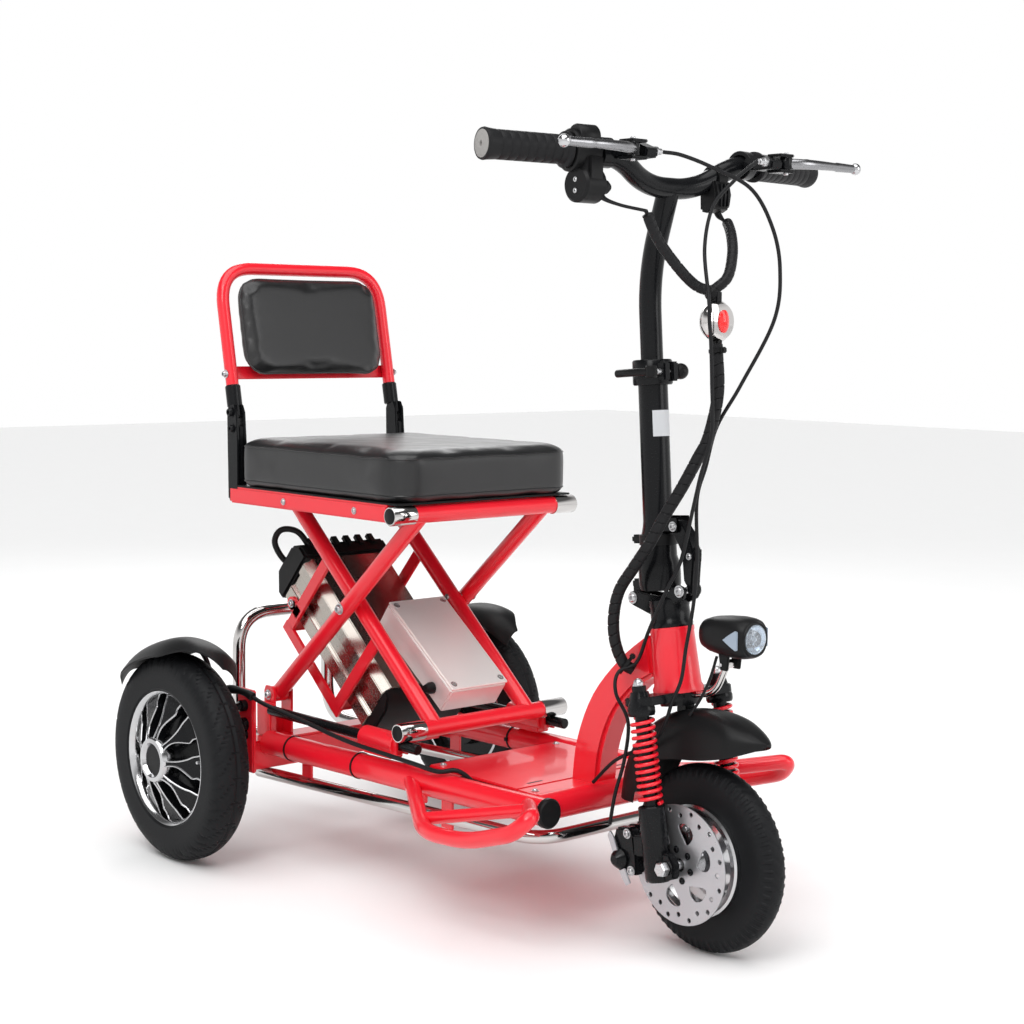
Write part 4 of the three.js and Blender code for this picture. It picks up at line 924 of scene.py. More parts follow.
def stuffed(obj, voxel, pressure, cap):
    """Blows a pad up with a cloth simulation, and keeps every point within a cap of where it was."""
    remesh = obj.modifiers.new("remesh", "REMESH")
    remesh.mode = "VOXEL"
    remesh.voxel_size = voxel * MM
    bpy.context.view_layer.objects.active = obj
    bpy.ops.object.modifier_apply(modifier=remesh.name)
    rest = [v.co.copy() for v in obj.data.vertices]
    cloth = obj.modifiers.new("cloth", "CLOTH")
    settings = cloth.settings
    settings.use_pressure = True
    settings.uniform_pressure_force = pressure
    settings.effector_weights.gravity = 0
    settings.quality = 4
    scene = bpy.context.scene
    for number in range(1, 21):
        scene.frame_set(number)
    swollen = obj.evaluated_get(bpy.context.evaluated_depsgraph_get()).data
    places = [v.co.copy() for v in swollen.vertices]
    obj.modifiers.remove(cloth)
    scene.frame_set(1)
    for vertex, start, end in zip(obj.data.vertices, rest, places):
        step = end - start
        if step.length > cap * MM:
            step = step.normalized() * cap * MM
        vertex.co = start + step
    smooth = obj.modifiers.new("smooth", "SMOOTH")
    smooth.factor = 0.5
    smooth.iterations = 4
    bpy.ops.object.modifier_apply(modifier=smooth.name)
    finer = obj.modifiers.new("finer", "SUBSURF")
    finer.levels = finer.render_levels = 1
    bpy.ops.object.modifier_apply(modifier=finer.name)
    obj.data.shade_smooth()


def welt_on(obj, loop, name, body):
    """A sewn welt: a thin cord laid on the surface along a closed loop."""
    points = []
    for point in loop:
        _, place, _, _ = obj.closest_point_on_mesh(point * MM)
        points.append(place / MM)
    cord = tube([*points, points[0], points[1]], WELT_RADIUS, 8, 0.1)
    return piece(name, body, [], [(cord, LEATHER)])


def dense(plan, steps=6):
    fine = []
    for a, b in zip(plan, plan[1:] + plan[:1]):
        count = max(1, int(math.dist(a, b) / steps))
        fine += [(a[0] + (b[0] - a[0]) * i / count, a[1] + (b[1] - a[1]) * i / count) for i in range(count)]
    return fine


CUSHION_REAR, CUSHION_FRONT, CUSHION_HALF = -423, -8, 179
CUSHION_LOW, CUSHION_TOP = 576, 645
CUSHION_CORNERS = 18, 46
PAD_LOW, PAD_TOP, PAD_HALF, PAD_CORNER = 51, 222, 143, 44
PAD_BACK, PAD_FACE = -4, 16
WELT_RADIUS = 1.5
SWELL = 7  # the furthest that the stuffing may push a point out


def make_cushion():
    """A box cushion with a crowned top: the plan is rounder at its front corners."""
    plan = rounded_rectangle(CUSHION_REAR, CUSHION_FRONT, CUSHION_HALF, *CUSHION_CORNERS)
    shape = swapped(prism(plan, CUSHION_LOW, CUSHION_TOP, 5), "xzy")
    obj = piece("seat_cushion_cover", "seat", ["seat_cushion"], [(shape, LEATHER)])
    stuffed(obj, voxel=6, pressure=4, cap=SWELL)
    out = 4
    back, front = [corner + 2 for corner in CUSHION_CORNERS]
    plan = dense(rounded_rectangle(CUSHION_REAR - out, CUSHION_FRONT + out, CUSHION_HALF + out, back,
                                   front))
    for level, label in ((CUSHION_TOP - 3, "upper"), (CUSHION_LOW + 4, "lower")):
        welt_on(obj, route(*[(x, y, level) for x, y in plan]), "seat_welt_" + label, "seat")


def make_pad():
    plan = rounded_rectangle(PAD_LOW, PAD_TOP, PAD_HALF, PAD_CORNER, PAD_CORNER)
    shape = swapped(prism([(z, y) for z, y in plan], PAD_BACK, PAD_FACE, 6), "yzx")
    obj = piece("backrest_pad_cover", "backrest", ["backrest_pad"],
                [(at(shape, REST), LEATHER)])
    stuffed(obj, voxel=5, pressure=4, cap=SWELL)
    out = 3
    corner = PAD_CORNER + 2
    plan = dense(rounded_rectangle(PAD_LOW - out, PAD_TOP + out, PAD_HALF + out, corner, corner))
    welt_on(obj, [REST @ Vector((PAD_FACE - 3, y, z)) for z, y in plan], "backrest_welt", "backrest")


make_cushion()
make_pad()


# ---------------------------------------------------------------- rear wheels
def tyre_profile(bead, radius, half, steps=26):
    """Points from one bead round the tread to the other, and back inside."""
    points = []
    for i in range(steps + 1):
        a = math.pi * i / steps
        across = -math.cos(a)
        swell = max(0.0, math.sin(a)) ** 0.55
        points.append((bead + (radius - bead) * swell, across * half * (0.8 + 0.2 * math.sin(a))))
    points += [(bead - 6, half * 0.62), (bead - 6, -half * 0.62)]
    return points


def rear_tread(a, r, h):
    """Slanted sipes on both shoulders and one groove round the middle."""
    if r < REAR_RADIUS - 20:
        return 0
    if abs(h) < 1.4:
        return -2.2
    slanted = (a / (2 * math.pi) * 26 + abs(h) * 0.045) % 1
    short = (a / (2 * math.pi) * 52 + abs(h) * 0.045) % 1
    return -2.2 if slanted < 0.07 and abs(h) > 4 or short < 0.1 and abs(h) > 20 else 0


def front_tread(a, r, h):
    """Small knobs along both edges, and shallow zigzag grooves between them."""
    if r < FRONT_RADIUS - 15:
        return 0
    across = abs(h)
    if 13 < across < 19:
        return 0.6 if (a / (2 * math.pi) * 64) % 1 < 0.36 else -2.4
    zigzag = (a / (2 * math.pi) * 40 + across * 0.06) % 1
    return -1.6 if zigzag < 0.12 and across < 13 else -0.4


def wheel_place(axle, y, side):
    """Local +Z is the outer side of a wheel."""
    turn = TO_Y if side > 0 else TO_MINUS_Y
    return Matrix.Translation((axle.x, y, axle.z)) @ turn


def cone(r):
    """How far the spokes' faces stand out at a radius."""
    return 47 - (r - 36) * 0.47


def spoke():
    """One wavy spoke: a dark web with two polished edges."""
    radii = [34, 42, 52, 62, 72, 80, 86, 92, 98]
    widths = [7.5, 4.6, 4.2, 6.6, 9.8, 12.0, 11.2, 11.6, 12.6]
    waves = [0, 1.6, 1.8, 0.4, -1.0, -1.2, 0, 0, 0]
    left, right = [], []
    for r, w, s in zip(radii, widths, waves):
        for edge, sign in ((left, -1), (right, 1)):
            a = math.radians(sign * w + s)
            edge.append(Vector((r * math.cos(a), r * math.sin(a), cone(r))))
    left, right = smooth_path(left, 22), smooth_path(right, 22)
    drop = Vector((0, 0, 14))
    points, faces = [], []
    for a, b in zip(left, right):
        points += [a, b, b - drop, a - drop]
    for i in range(len(left) - 1):
        for k in range(4):
            n = (k + 1) % 4
            faces.append((4 * i + k, 4 * i + n, 4 * i + 4 + n, 4 * i + 4 + k))
    faces += [(3, 2, 1, 0), tuple(4 * (len(left) - 1) + k for k in range(4))]
    return (points, faces), [tube(edge, 1.5, 8, 0.3) for edge in (left, right)]


SPOKES = 9


def rear_rim():
    lip = lathe([(107.6, 26), (104, 29), (101, 27), (97, 20), (94, 6), (96, -10), (99, -26), (107.6, -26)],
                96)
    dish = lathe([(12, -34), (60, -34), (62, -10), (95, -10), (95, -2), (70, 6), (38, 20), (34, 30),
                  (12, 30)], 96)
    ring = lathe([(22, 30), (35, 30), (36, 46), (33, 51), (27, 52), (24, 48), (22, 44)], 64)
    centre = lathe([(0, 30), (23, 30), (24, 46.5), (0, 47.5)], 64)
    parts = [(lip, POLISHED), (dish, BLACK), (ring, POLISHED), (centre, PLASTIC)]
    web, edges = spoke()
    for i in range(SPOKES):
        turn = spun(i / SPOKES)
        parts.append((at(web, turn), BLACK))
        parts += [(at(edge, turn), POLISHED) for edge in edges]
        for s, m in bolt((0, 0, 0), (0, 0, 1), 3.4, 3):
            spot = spun((i + 0.5) / SPOKES) @ Matrix.Translation((84, 0, 1))
            parts.append((at(s, spot), BLACK))
    valve = bar((88, 8, 4), (88, 8, 26), 2.6, 12, 0.4)
    parts.append((valve, ZINC))
    return parts


for name, side in SIDES:
    place = wheel_place(REAR_AXLE, side * REAR_TRACK, side)
    body = "rear_wheel_" + name
    tread = lathe(tyre_profile(REAR_BEAD, REAR_RADIUS, REAR_HALF_WIDTH), 480, rear_tread)
    skin("rear_tyre_" + name, body, [(at(tread, place), RUBBER)], TYRE_SHARP)
    piece("rear_rim_" + name, body, ["rear_hub_" + name], moved(rear_rim(), place))


# ---------------------------------------------------------------- fenders
def sheet(lines, thickness):
    """A curved sheet given as a grid of points, with a thickness under it."""
    rows, cols = len(lines), len(lines[0])
    top = [p for line in lines for p in line]
    under = [p - Vector((0, 0, thickness)) for p in top]
    points = top + under
    base = rows * cols
    faces = []
    for i in range(rows - 1):
        for j in range(cols - 1):
            a, b, c, d = i * cols + j, i * cols + j + 1, (i + 1) * cols + j + 1, (i + 1) * cols + j
            faces += [(a, b, c, d), (d + base, c + base, b + base, a + base)]
    for i in range(rows - 1):
        for j in (0, cols - 1):
            a, d = i * cols + j, (i + 1) * cols + j
            faces.append((a, d, d + base, a + base) if j == 0 else (d, a, a + base, d + base))
    for j in range(cols - 1):
        for i in (0, rows - 1):
            a, b = i * cols + j, i * cols + j + 1
            faces.append((b, a, a + base, b + base) if i == 0 else (a, b, b + base, a + base))
    return points, faces


REAR_FENDER_HALF, FRONT_FENDER_HALF = 44, 38
SHEET = 3


def rear_fender():
    """A crowned guard that follows the tyre, with its corners cut away at both ends."""
    top = smooth_path(route((-526, 0, 284), (-478, 0, 322), (-404, 0, 347), (-350, 0, 350), (-308, 0, 339),
                            (-280, 0, 316)), 30)
    lines = []
    for i, p in enumerate(top):
        end = min(i, 30 - i) / 30
        half = REAR_FENDER_HALF * min(1, 0.6 + end * 3.4)
        outer = -1 + 1.1 * max(0, (i - 17) / 13) ** 1.4
        row = []
        for k in range(17):
            c = outer + (1 - outer) * k / 16
            row.append(Vector((p.x, -299 + half * c, p.z - 24 * abs(c) ** 2.4)))
        lines.append(row)
    parts = [(sheet(lines, SHEET), PLASTIC)]
    parts.append((block((-418, -241, 206), (-392, -234.3, 233), 1), BLACK))
    stay = route((-405, -238, 225), (-405, -240, 300), (-405, -268, 338))
    parts.append((tube(rounded(stay, 20), 4, 14), BLACK))
    return parts


def front_fender():
    """A hood over the front wheel: the crown follows the tyre and the edge runs up to a nose."""
    crown = [(536, 297), (511, 311), (477, 323), (443, 327), (400, 323), (365, 311), (334, 290), (310, 262),
             (295, 228), (289, 190)]
    edge = [(532, 293.5), (496, 280), (449, 269), (396, 262), (356, 250), (338, 222), (330, 190)]
    crown = smooth_path([Vector((x, 0, z)) for x, z in crown], 44)
    edge = smooth_path([Vector((x, 0, z)) for x, z in edge], 44)
    lines = []
    for i, (top, low) in enumerate(zip(crown, edge)):
        half = FRONT_FENDER_HALF * min(1, 0.06 + i / 8) ** 0.6
        row = []
        for k in range(-12, 13):
            c = k / 12
            fall = 1 - (1 - abs(c) ** 2.6) ** 0.5
            across = half * math.copysign(abs(c) ** 0.8, c)
            row.append(top.lerp(low, fall) + Vector((0, across, 0)))
        lines.append(row)
    return [(sheet(lines, SHEET), PLASTIC), (block((380, -9, 316), (398, 9, 329), 1.5), BLACK)]


for name, side in SIDES:
    skin("rear_fender_" + name, "frame", flipped(rear_fender(), side))
skin("front_fender", "fork", front_fender())


# ---------------------------------------------------------------- fork
SPRING_LOW, SPRING_HIGH = -146, -28
SPRING_TURNS, SPRING_RADIUS, SPRING_WIRE = 12.5, 14.4, 2.6
LAMP_PIVOT = Vector((93.7, 0, 29.7))


def fork_crown():
    """The crown with its steerer, the fixed legs inside the springs, and the lamp bracket."""
    plate = swapped(prism(rounded_rectangle(-24, 24, 88, 16, 16), -15, -3, 1.5), "xzy")
    parts = [(plate, BLACK), (bar((0, 0, -12), (0, 0, 78), 14.6, 28), ZINC)]
    collar = lathe([(0, -22), (26, -22), (28, -16), (28, -3), (33, -1), (33, 0), (0, 0)], 48)
    parts.append((collar, BLACK))
    for side in (-1, 1):
        centre = Vector((2, side * FORK_Y, 0))
        parts.append((bar(centre + Vector((0, 0, -162)), centre + Vector((0, 0, 12)), 9.6, 24), BLACK))
        cap = lathe([(0, -27.6), (17, -27.6), (18.5, -24), (18.5, -18), (14, -4), (12, 4), (0, 4)], 32)
        parts.append((at(cap, Matrix.Translation(centre)), BLACK))
        acorn = lathe([(0, 3), (9, 3), (9, 10), (7.6, 15), (4, 19), (0, 20)], 6)
        parts.append((at(acorn, Matrix.Translation(centre)), ZINC))
        parts.append((at(ball((0, 0, 15), 7), Matrix.Translation(centre)), ZINC))
    bracket = rounded(route((14, 0, -9), (66, 0, -9), LAMP_PIVOT), 20)
    parts.append((tube(bracket, 4.6, 16), CHROME))
    parts.append((bar(off(LAMP_PIVOT, -9), off(LAMP_PIVOT, 9), 6, 20), CHROME))
    parts.append((bar(off(LAMP_PIVOT, -15), off(LAMP_PIVOT, 15), 2.6, 12, 0.4), ZINC))
    return moved(parts, FORK)


def coil_spring(y):
    steps = int(SPRING_TURNS * 20)
    low, high = SPRING_LOW + SPRING_WIRE, SPRING_HIGH - SPRING_WIRE
    path = []
    for i in range(steps + 1):
        a = 2 * math.pi * SPRING_TURNS * i / steps
        x, across = SPRING_RADIUS * math.cos(a), SPRING_RADIUS * math.sin(a)
        path.append(Vector((2 + x, y + across, low + (high - low) * i / steps)))
    return at(tube(path, SPRING_WIRE, 10, 0.3), FORK)


skin("fork_crown", "fork", fork_crown())
for name, side in SIDES:
    spring = piece("spring_" + name + "_coil", "fork", ["spring_" + name],
                   [(coil_spring(side * FORK_Y), RED)])
    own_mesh(spring)


def fork_lower():
    """The sliding legs, their dropouts and the axle with its nuts."""
    parts = []
    ax, az = AXLE_IN_FORK.x, AXLE_IN_FORK.z
    for side in (-1, 1):
        y = side * FORK_Y
        leg = lathe([(11, -146.3), (16.5, -146.3), (18, -148), (18, az - 14), (14, az - 19), (0, az - 19),
                     (0, -200), (11, -200)], 36)
        parts.append((at(leg, Matrix.Translation((2, y, 0))), BLACK))
        dropout = [(2, az + 22), (ax + 8, az + 18), (ax + 15, az + 4), (ax + 12, az - 14), (2, az - 20)]
        parts.append((prism(dropout, y - 7, y + 7, 2), BLACK))
        nut = at(lathe([(0, 0), (10, 0), (10, 9), (8.5, 10.5), (0, 10.5)], 6),
                 TO_Y if side > 0 else TO_MINUS_Y)
        parts.append((at(nut, Matrix.Translation((ax, y + side * 8, az))), ZINC))
    parts.append((bar((ax, -93, az), (ax, 93, az), 6, 20, 1.5), ZINC))
    return moved(parts, FORK)


CALLIPER_LIFT = 16
CALLIPER_REACH = 102  # how far its rear edge is behind the axle


def calliper():
    """A cable-pulled calliper, with its arm, cable stop and adjusting knob on the outer side."""
    az = AXLE_IN_FORK.z + CALLIPER_LIFT
    x0 = AXLE_IN_FORK.x - CALLIPER_REACH
    outer = [(x0 + 8, az - 30), (x0 + 40, az - 30), (x0 + 44, az + 20), (x0 + 36, az + 34),
             (x0 + 8, az + 34), (x0, az + 16), (x0, az - 18)]
    parts = [(prism(outer, -75, -58.4, 3), BLACK), (prism(outer, -51.6, -43, 2), BLACK)]
    parts.append((block((x0, -62, az - 20), (x0 + 14, -46, az + 24), 2), BLACK))
    parts.append((block((x0 + 36, -75, az - 4), (-16.6, -67, az + 24), 2), BLACK))
    knob = at(lathe([(0, 0), (13, 0), (14, 4), (10, 10), (6, 14), (0, 14)], 32), TO_MINUS_Y)
    parts.append((at(knob, Matrix.Translation((x0 + 12, -74, az - 8))), BLACK))
    arm = [(x0 + 8, az - 14), (x0 + 18, az - 10), (x0 + 8, az + 22), (x0 + 2, az + 30), (x0 - 3, az + 24)]
    parts.append((prism(arm, -81, -77, 0.8), STEEL))
    tab = [(x0 + 20, az - 44), (x0 + 30, az - 40), (x0 + 22, az - 20), (x0 + 10, az - 24)]
    parts.append((prism(tab, -79, -76.5, 0.8), STEEL))
    for spot in ((x0 + 30, az + 26), (x0 + 30, az - 24)):
        parts += bolt((spot[0], -75, spot[1]), (0, -1, 0), 5, 4)
    return moved(parts, FORK)


skin("fork_lower", "fork_slider", fork_lower())
skin("brake_calliper", "fork_slider", calliper())


# ---------------------------------------------------------------- front wheel
def front_rim():
    profile = [(7, -52), (19, -52), (19, -26), (58, -16), (64, -27), (72, -29), (75.3, -27), (75.3, 27),
               (72, 29), (64, 27), (58, 14), (26, 22), (22, 52), (7, 55)]
    parts = [(lathe(profile, 80), POLISHED)]
    for i in range(6):
        spot = spun(i / 6) @ Matrix.Translation((44, 0, -21)) @ Matrix.Rotation(math.pi, 4, "X")
        parts += moved(bolt((0, 0, 0), (0, 0, 1), 4, 3), spot)
    return parts


DISC_RADIUS, DISC_HALF, DISC_Y = 80, 1, -55
DISC_HOLES, DISC_WINDOWS = 24, 6


def brake_disc():
    holes = [circle(9, 32)]
    for i in range(DISC_HOLES):
        a = 2 * math.pi * i / DISC_HOLES
        r = 73 if i % 2 else 66.5
        holes.append(circle(3.4, 16, r * math.cos(a), r * math.sin(a)))
    for i in range(DISC_WINDOWS):
        centre = 2 * math.pi * (i + 0.25) / DISC_WINDOWS
        tear = []
        for k in range(24):
            t = 2 * math.pi * k / 24
            r = 44 + 13 * math.cos(t)
            swing = (0.26 + 0.1 * math.cos(t)) * math.sin(t) + 0.12 * math.cos(t)
            tear.append((r * math.cos(centre + swing), r * math.sin(centre + swing)))
        holes.append(tear)
    plate = flat(circle(DISC_RADIUS, 96), holes, DISC_HALF, 0.2)
    parts = [(plate, STEEL)]
    for i in range(DISC_WINDOWS):
        a = 2 * math.pi * (i + 0.75) / DISC_WINDOWS
        parts += repainted(bolt((21 * math.cos(a), 21 * math.sin(a), 1), (0, 0, 1), 3.4, 2.6), BLACK)
    return parts


FRONT_PLACE = wheel_place(FRONT_AXLE, 0, 1)
front_tyre = lathe(tyre_profile(FRONT_BEAD, FRONT_RADIUS, FRONT_HALF_WIDTH), 448, front_tread)
skin("front_tyre", "front_wheel", [(at(front_tyre, FRONT_PLACE), RUBBER)], TYRE_SHARP)
piece("front_rim", "front_wheel", ["front_hub"], moved(front_rim(), FRONT_PLACE))
DISC_PLACE = Matrix.Translation((FRONT_AXLE.x, DISC_Y, FRONT_AXLE.z)) @ TO_MINUS_Y
skin("brake_disc", "front_wheel", moved(brake_disc(), DISC_PLACE))


# ---------------------------------------------------------------- headlight
def lamp_section(x, half_width, half_height, top=0.0, count=40):
    """A superellipse across the lamp."""
    row = []
    for k in range(count):
        a = 2 * math.pi * k / count
        c, s = math.cos(a), math.sin(a)
        y = half_width * math.copysign(abs(c) ** 0.75, c)
        z = half_height * math.copysign(abs(s) ** 0.75, s)
        row.append(Vector((x, y, z + top)))
    return row


def lofted(rows):
    points = [p for row in rows for p in row]
    n = len(rows[0])
    faces = []
    for i in range(len(rows) - 1):
        for k in range(n):
            j = (k + 1) % n
            faces.append((i * n + k, i * n + j, (i + 1) * n + j, (i + 1) * n + k))
    faces += [tuple(range(n))[::-1], tuple((len(rows) - 1) * n + k for k in range(n))]
    return points, faces


# distance along the lamp, half width and half height
LAMP_SECTIONS = [(-46, 9, 8), (-44.5, 17, 15), (-39, 22, 19.5), (-27, 26, 23.5), (-8, 29, 26),
                 (12, 30, 27.5), (26, 29, 27), (34, 27, 25.5), (37.5, 24.5, 23.5), (38, 21, 21),
                 (30, 20, 20)]


def headlight():
    """A rounded black body; a round clear lens in front of a bright bowl; a tinted wedge on each side."""
    place = Matrix.Translation(LAMP_CENTRE)
    parts = [(at(lofted([lamp_section(*row) for row in LAMP_SECTIONS]), place), PLASTIC)]
    for y in (-14, 10):
        ear = [(-9, -45), (3, -45), (6, -22), (-13, -22)]
        parts.append((at(prism(ear, y, y + 4, 1), place), PLASTIC))
    for y in (-30.4, 28.4):
        wedge = [(8, -1), (20, -8), (30, -13), (34, -12), (34, 12), (30, 13), (20, 7)]
        parts.append((at(prism(wedge, y, y + 2, 0.6), place), SIDE_LENS))
    bezel = lathe([(19.5, 34), (24, 34), (24, 38), (22.5, 40), (20, 39.4), (19.5, 38)], 48)
    bowl = lathe([(0, 30.6), (5, 30.6), (12, 33), (19.4, 37.4), (19.4, 38.4), (11.6, 34), (5, 31.8),
                  (0, 31.8)], 48)
    parts.append((at(bezel, place @ TO_X), PLASTIC))
    parts.append((at(bowl, place @ TO_X), MIRROR))
    parts.append((at(lathe([(8.4, 33), (10, 33), (10, 37), (8.4, 37)], 40), place @ TO_X), PLASTIC))
    parts.append((at(ball((0, 0, 33), 4.4), place @ TO_X), LABEL))
    lens = lathe([(0, 40), (10, 39.4), (19.2, 38.6), (19.2, 40), (17, 42), (13, 43), (12.6, 44.2), (7, 45),
                  (6.6, 46), (0, 46.4)], 48)
    return parts, [(at(lens, place @ TO_X), CLEAR)]


lamp_body, lamp_front = headlight()
piece("headlight_shell", "headlight", ["headlight_body"], lamp_body)
piece("headlight_glass", "headlight", ["headlight_lens"], lamp_front)


# ---------------------------------------------------------------- folding joint and stem
def fold_base():
    collar = at(lathe([(18, 83.3), (29, 83.3), (29.5, 88), (27, 92), (26.6, 110), (27.5, 112), (27.5, 120),
                       (20, 124.4), (18, 124.4)], 48), FORK)
    parts = [(collar, BLACK)]
    rear = [(294, 456), (305, 452), (350, 440), (350, 470), (306, 473), (295, 470)]
    front = [(350, 448), (395, 471), (398, 485), (385, 489), (350, 469)]
    for y in (-17, 9.5):
        parts += [(prism(rear, y, y + 7.5, 1.5), BLACK), (prism(front, y, y + 7.5, 1.5), BLACK)]
    for pin in (FOLD_PIN, LATCH_PIN):
        parts.append((bar(off(pin, -16), off(pin, 16), 4, 16, 0.5), ZINC))
        for side in (-1, 1):
            parts += bolt((pin.x, side * 17, pin.z), (0, side, 0), 6, 4)
    return parts


def fold_latch():
    outline = [(362, 560), (368, 574), (380, 574), (393, 560), (406, 531), (404, 500), (403, 477),
               (396, 475), (394.5, 487), (388, 494), (386, 512), (383, 532), (370, 552)]
    arm = prism(outline, -9, 9, 2)
    thumb = block((398, -6, 520), (409, 6, 540), 2.5)
    return [(arm, BLACK), (thumb, BLACK), *bolt((398, -9, 528), (0, -1, 0), 3.5, 2)]


def stem_lower():
    profile = [(STEM_BORE, STEM_LENGTH), (STEM_RADIUS, STEM_LENGTH), (STEM_RADIUS, 92), (20.6, 84),
               (24, 68), (24.4, 44), (28, 34), (28.6, 22), (28.6, 6), (27, -2), (10, -2), (10, 30),
               (STEM_BORE, 34)]
    parts = [(lathe(profile, 48), BLACK)]
    parts += [(block((-46, -9, -23), (-24, 9, 6), 4), BLACK),
              (block((-46, -9, -1), (-18, 9, 12), 3), BLACK)]
    for y in (-13.5, 9.5):
        parts.append((block((14.5, y, 76), (49, y + 4, 98), 2), BLACK))
    parts.append((block((-46, -7, 60), (-17, 7, 72), 3), PLASTIC))
    band = lathe([(20.2, 59), (26, 59), (26, 73), (20.2, 73)], 48)
    parts.append((band, PLASTIC))
    parts = moved(parts, STEM)
    for side in (-1, 1):
        parts += bolt((LATCH_PIVOT.x, side * 13.5, LATCH_PIVOT.z), (0, side, 0), 5, 4)
    return parts


LABEL_LOW, LABEL_TOP = 205, 240
LABEL_START, LABEL_SWEEP, LABEL_STEPS = -52, 90, 12  # degrees round the stem


def curved_label():
    """A blank label wrapped round the right front of the stem."""
    rows = []
    for i in range(LABEL_STEPS + 1):
        a = math.radians(LABEL_START + LABEL_SWEEP * i / LABEL_STEPS)
        for r in (STEM_RADIUS + 0.05, STEM_RADIUS + 0.35):
            for z in (LABEL_LOW, LABEL_TOP):
                rows.append(Vector((r * math.cos(a), r * math.sin(a), z)))
    faces = []
    for i in range(LABEL_STEPS):
        b = 4 * i
        faces += [(b, b + 4, b + 5, b + 1), (b + 2, b + 3, b + 7, b + 6), (b, b + 2, b + 6, b + 4),
                  (b + 1, b + 5, b + 7, b + 3)]
    last = 4 * LABEL_STEPS
    faces += [(0, 1, 3, 2), (last, last + 2, last + 3, last + 1)]
    return at((rows, faces), STEM)


def stem_clamp():
    """The split ring that holds the stem's height, with its bolt and knob."""
    low, high = STEM_LENGTH - 17, STEM_LENGTH + 17
    ring = lathe([(STEM_RADIUS + 0.3, low), (25.5, low), (27, low + 2), (27, high - 2), (25.5, high),
                  (STEM_BORE, high), (STEM_BORE, STEM_LENGTH + 0.5),
                  (STEM_RADIUS + 0.3, STEM_LENGTH + 0.5)], 48)
    parts = [(ring, BLACK), (block((20, -14, low + 4), (36, -2, high - 4), 2), BLACK),
             (block((20, 2, low + 4), (36, 14, high - 4), 2), BLACK)]
    parts.append((bar((28, -22, STEM_LENGTH), (28, 20, STEM_LENGTH), 4, 16), ZINC))
    parts.append((at(ball((0, 0, 0), 11), Matrix.Translation((28, 25, STEM_LENGTH))), PLASTIC))
    return moved(parts, STEM)


def clamp_lever():
    boss = bar((28, -31, STEM_LENGTH - 8), (28, -31, STEM_LENGTH + 8), 8, 24, 1.2)
    path = rounded([Vector((28, -33, STEM_LENGTH)), Vector((-2, -40, STEM_LENGTH)),
                    Vector((-32, -36, STEM_LENGTH))], 14)
    return moved(painted((boss, tube(path, 5.4, 16, 2)), PLASTIC), STEM)


skin("fold_base", "fork", fold_base())
skin("fold_latch", "latch", fold_latch())
skin("stem_lower", "stem", stem_lower())
piece("stem_label", "stem", [], [(curved_label(), LABEL)])
skin("stem_clamp", "stem", stem_clamp())
skin("clamp_lever", "clamp_lever", clamp_lever())


# ---------------------------------------------------------------- upper stem and handlebar
BAR_RADIUS = 14
BAR_MIDDLE = Vector((342, 0, 1012))
BAR_BEND = Vector((356, 112, 1050))
BAR_END = Vector((320, 300, 1052))
GRIP_AXIS = (BAR_END - BAR_BEND).normalized()
GRIP_END = (BAR_END - BAR_BEND).length + 9
LEVER_PIVOT = Vector((418, 146, 1050))


def mirror(p):
    return Vector((p.x, -p.y, p.z))


def bar_path():
    half = [Vector((343, 46, 1013)), BAR_BEND, BAR_END]
    return rounded([mirror(p) for p in half[::-1]] + half, 40, 12)


def stem_upper():
    start = STEM @ Vector((0, 0, 142))
    bend = STEM @ Vector((0, 0, 424))
    path = rounded([start, bend, BAR_MIDDLE + Vector((-1, 0, 0))], 60, 12)
    return tube(path, 15.2, 36)


def perch():
    ring = at(lathe([(14.2, 12), (18.5, 12), (19.5, 13), (19.5, 29), (18.5, 30), (14.2, 30)], 32),
              along_grip())
    x, y, z = LEVER_PIVOT
    shapes = [ring, block((366, 116, 1042), (400, 134, 1058), 3)]
    body = [(392, 1040), (x + 7, 1041), (x + 9, 1052), (404, 1061), (392, 1060)]
    shapes.append(prism(body, 108, 130, 2))
    shapes += [block((400, 126, low), (x + 8, 155, low + 4), 1.5) for low in (1037.5, 1058.5)]
    return painted(shapes, BLACK) + [(bar((x, y, 1035), (x, y, 1065), 3.4, 16, 0.6), ZINC),
                                     (tube([Vector((416, 94, 1050)), Vector((416, 101, 1050)),
                                            Vector((416, 102, 1050)), Vector((416, 110, 1050))], lambda s,
                                           a: 4 if s < 7.5 else 6, 20, 0.6), ZINC)]


def along_grip():
    """Local +Z runs along the left grip, from the bend."""
    return Matrix.Translation(BAR_BEND) @ GRIP_AXIS.to_track_quat("Z", "X").to_matrix().to_4x4()


def handlebar():
    parts = [(tube(bar_path(), BAR_RADIUS, 36), BLACK)]
    parts += perch()
    parts += flipped(perch())
    return parts


def grip(start, flange, ribs):
    end = GRIP_END
    profile = [(14.8, start), (flange - 2, start), (flange, start + 1.5), (flange, start + 5),
               (19, start + 8)]
    for i in range(ribs):
        s = start + 14 + (end - start - 24) * i / ribs
        profile += [(18.6, s), (18.0, s + 1.2), (18.6, s + 2.4)]
    profile += [(19.6, end - 8), (20.4, end - 3), (19.6, end - 0.8), (14.8, end - 0.8)]
    sleeve_shape = at(lathe(profile, 48), along_grip())
    disc = at(lathe([(0, end - 4), (17, end - 4), (17.4, end - 0.4), (16, end + 0.6), (3.4, end + 0.6),
                     (3, end - 2), (0, end - 2)], 40), along_grip())
    return [(sleeve_shape, GRIP), (disc, END_DISC)]


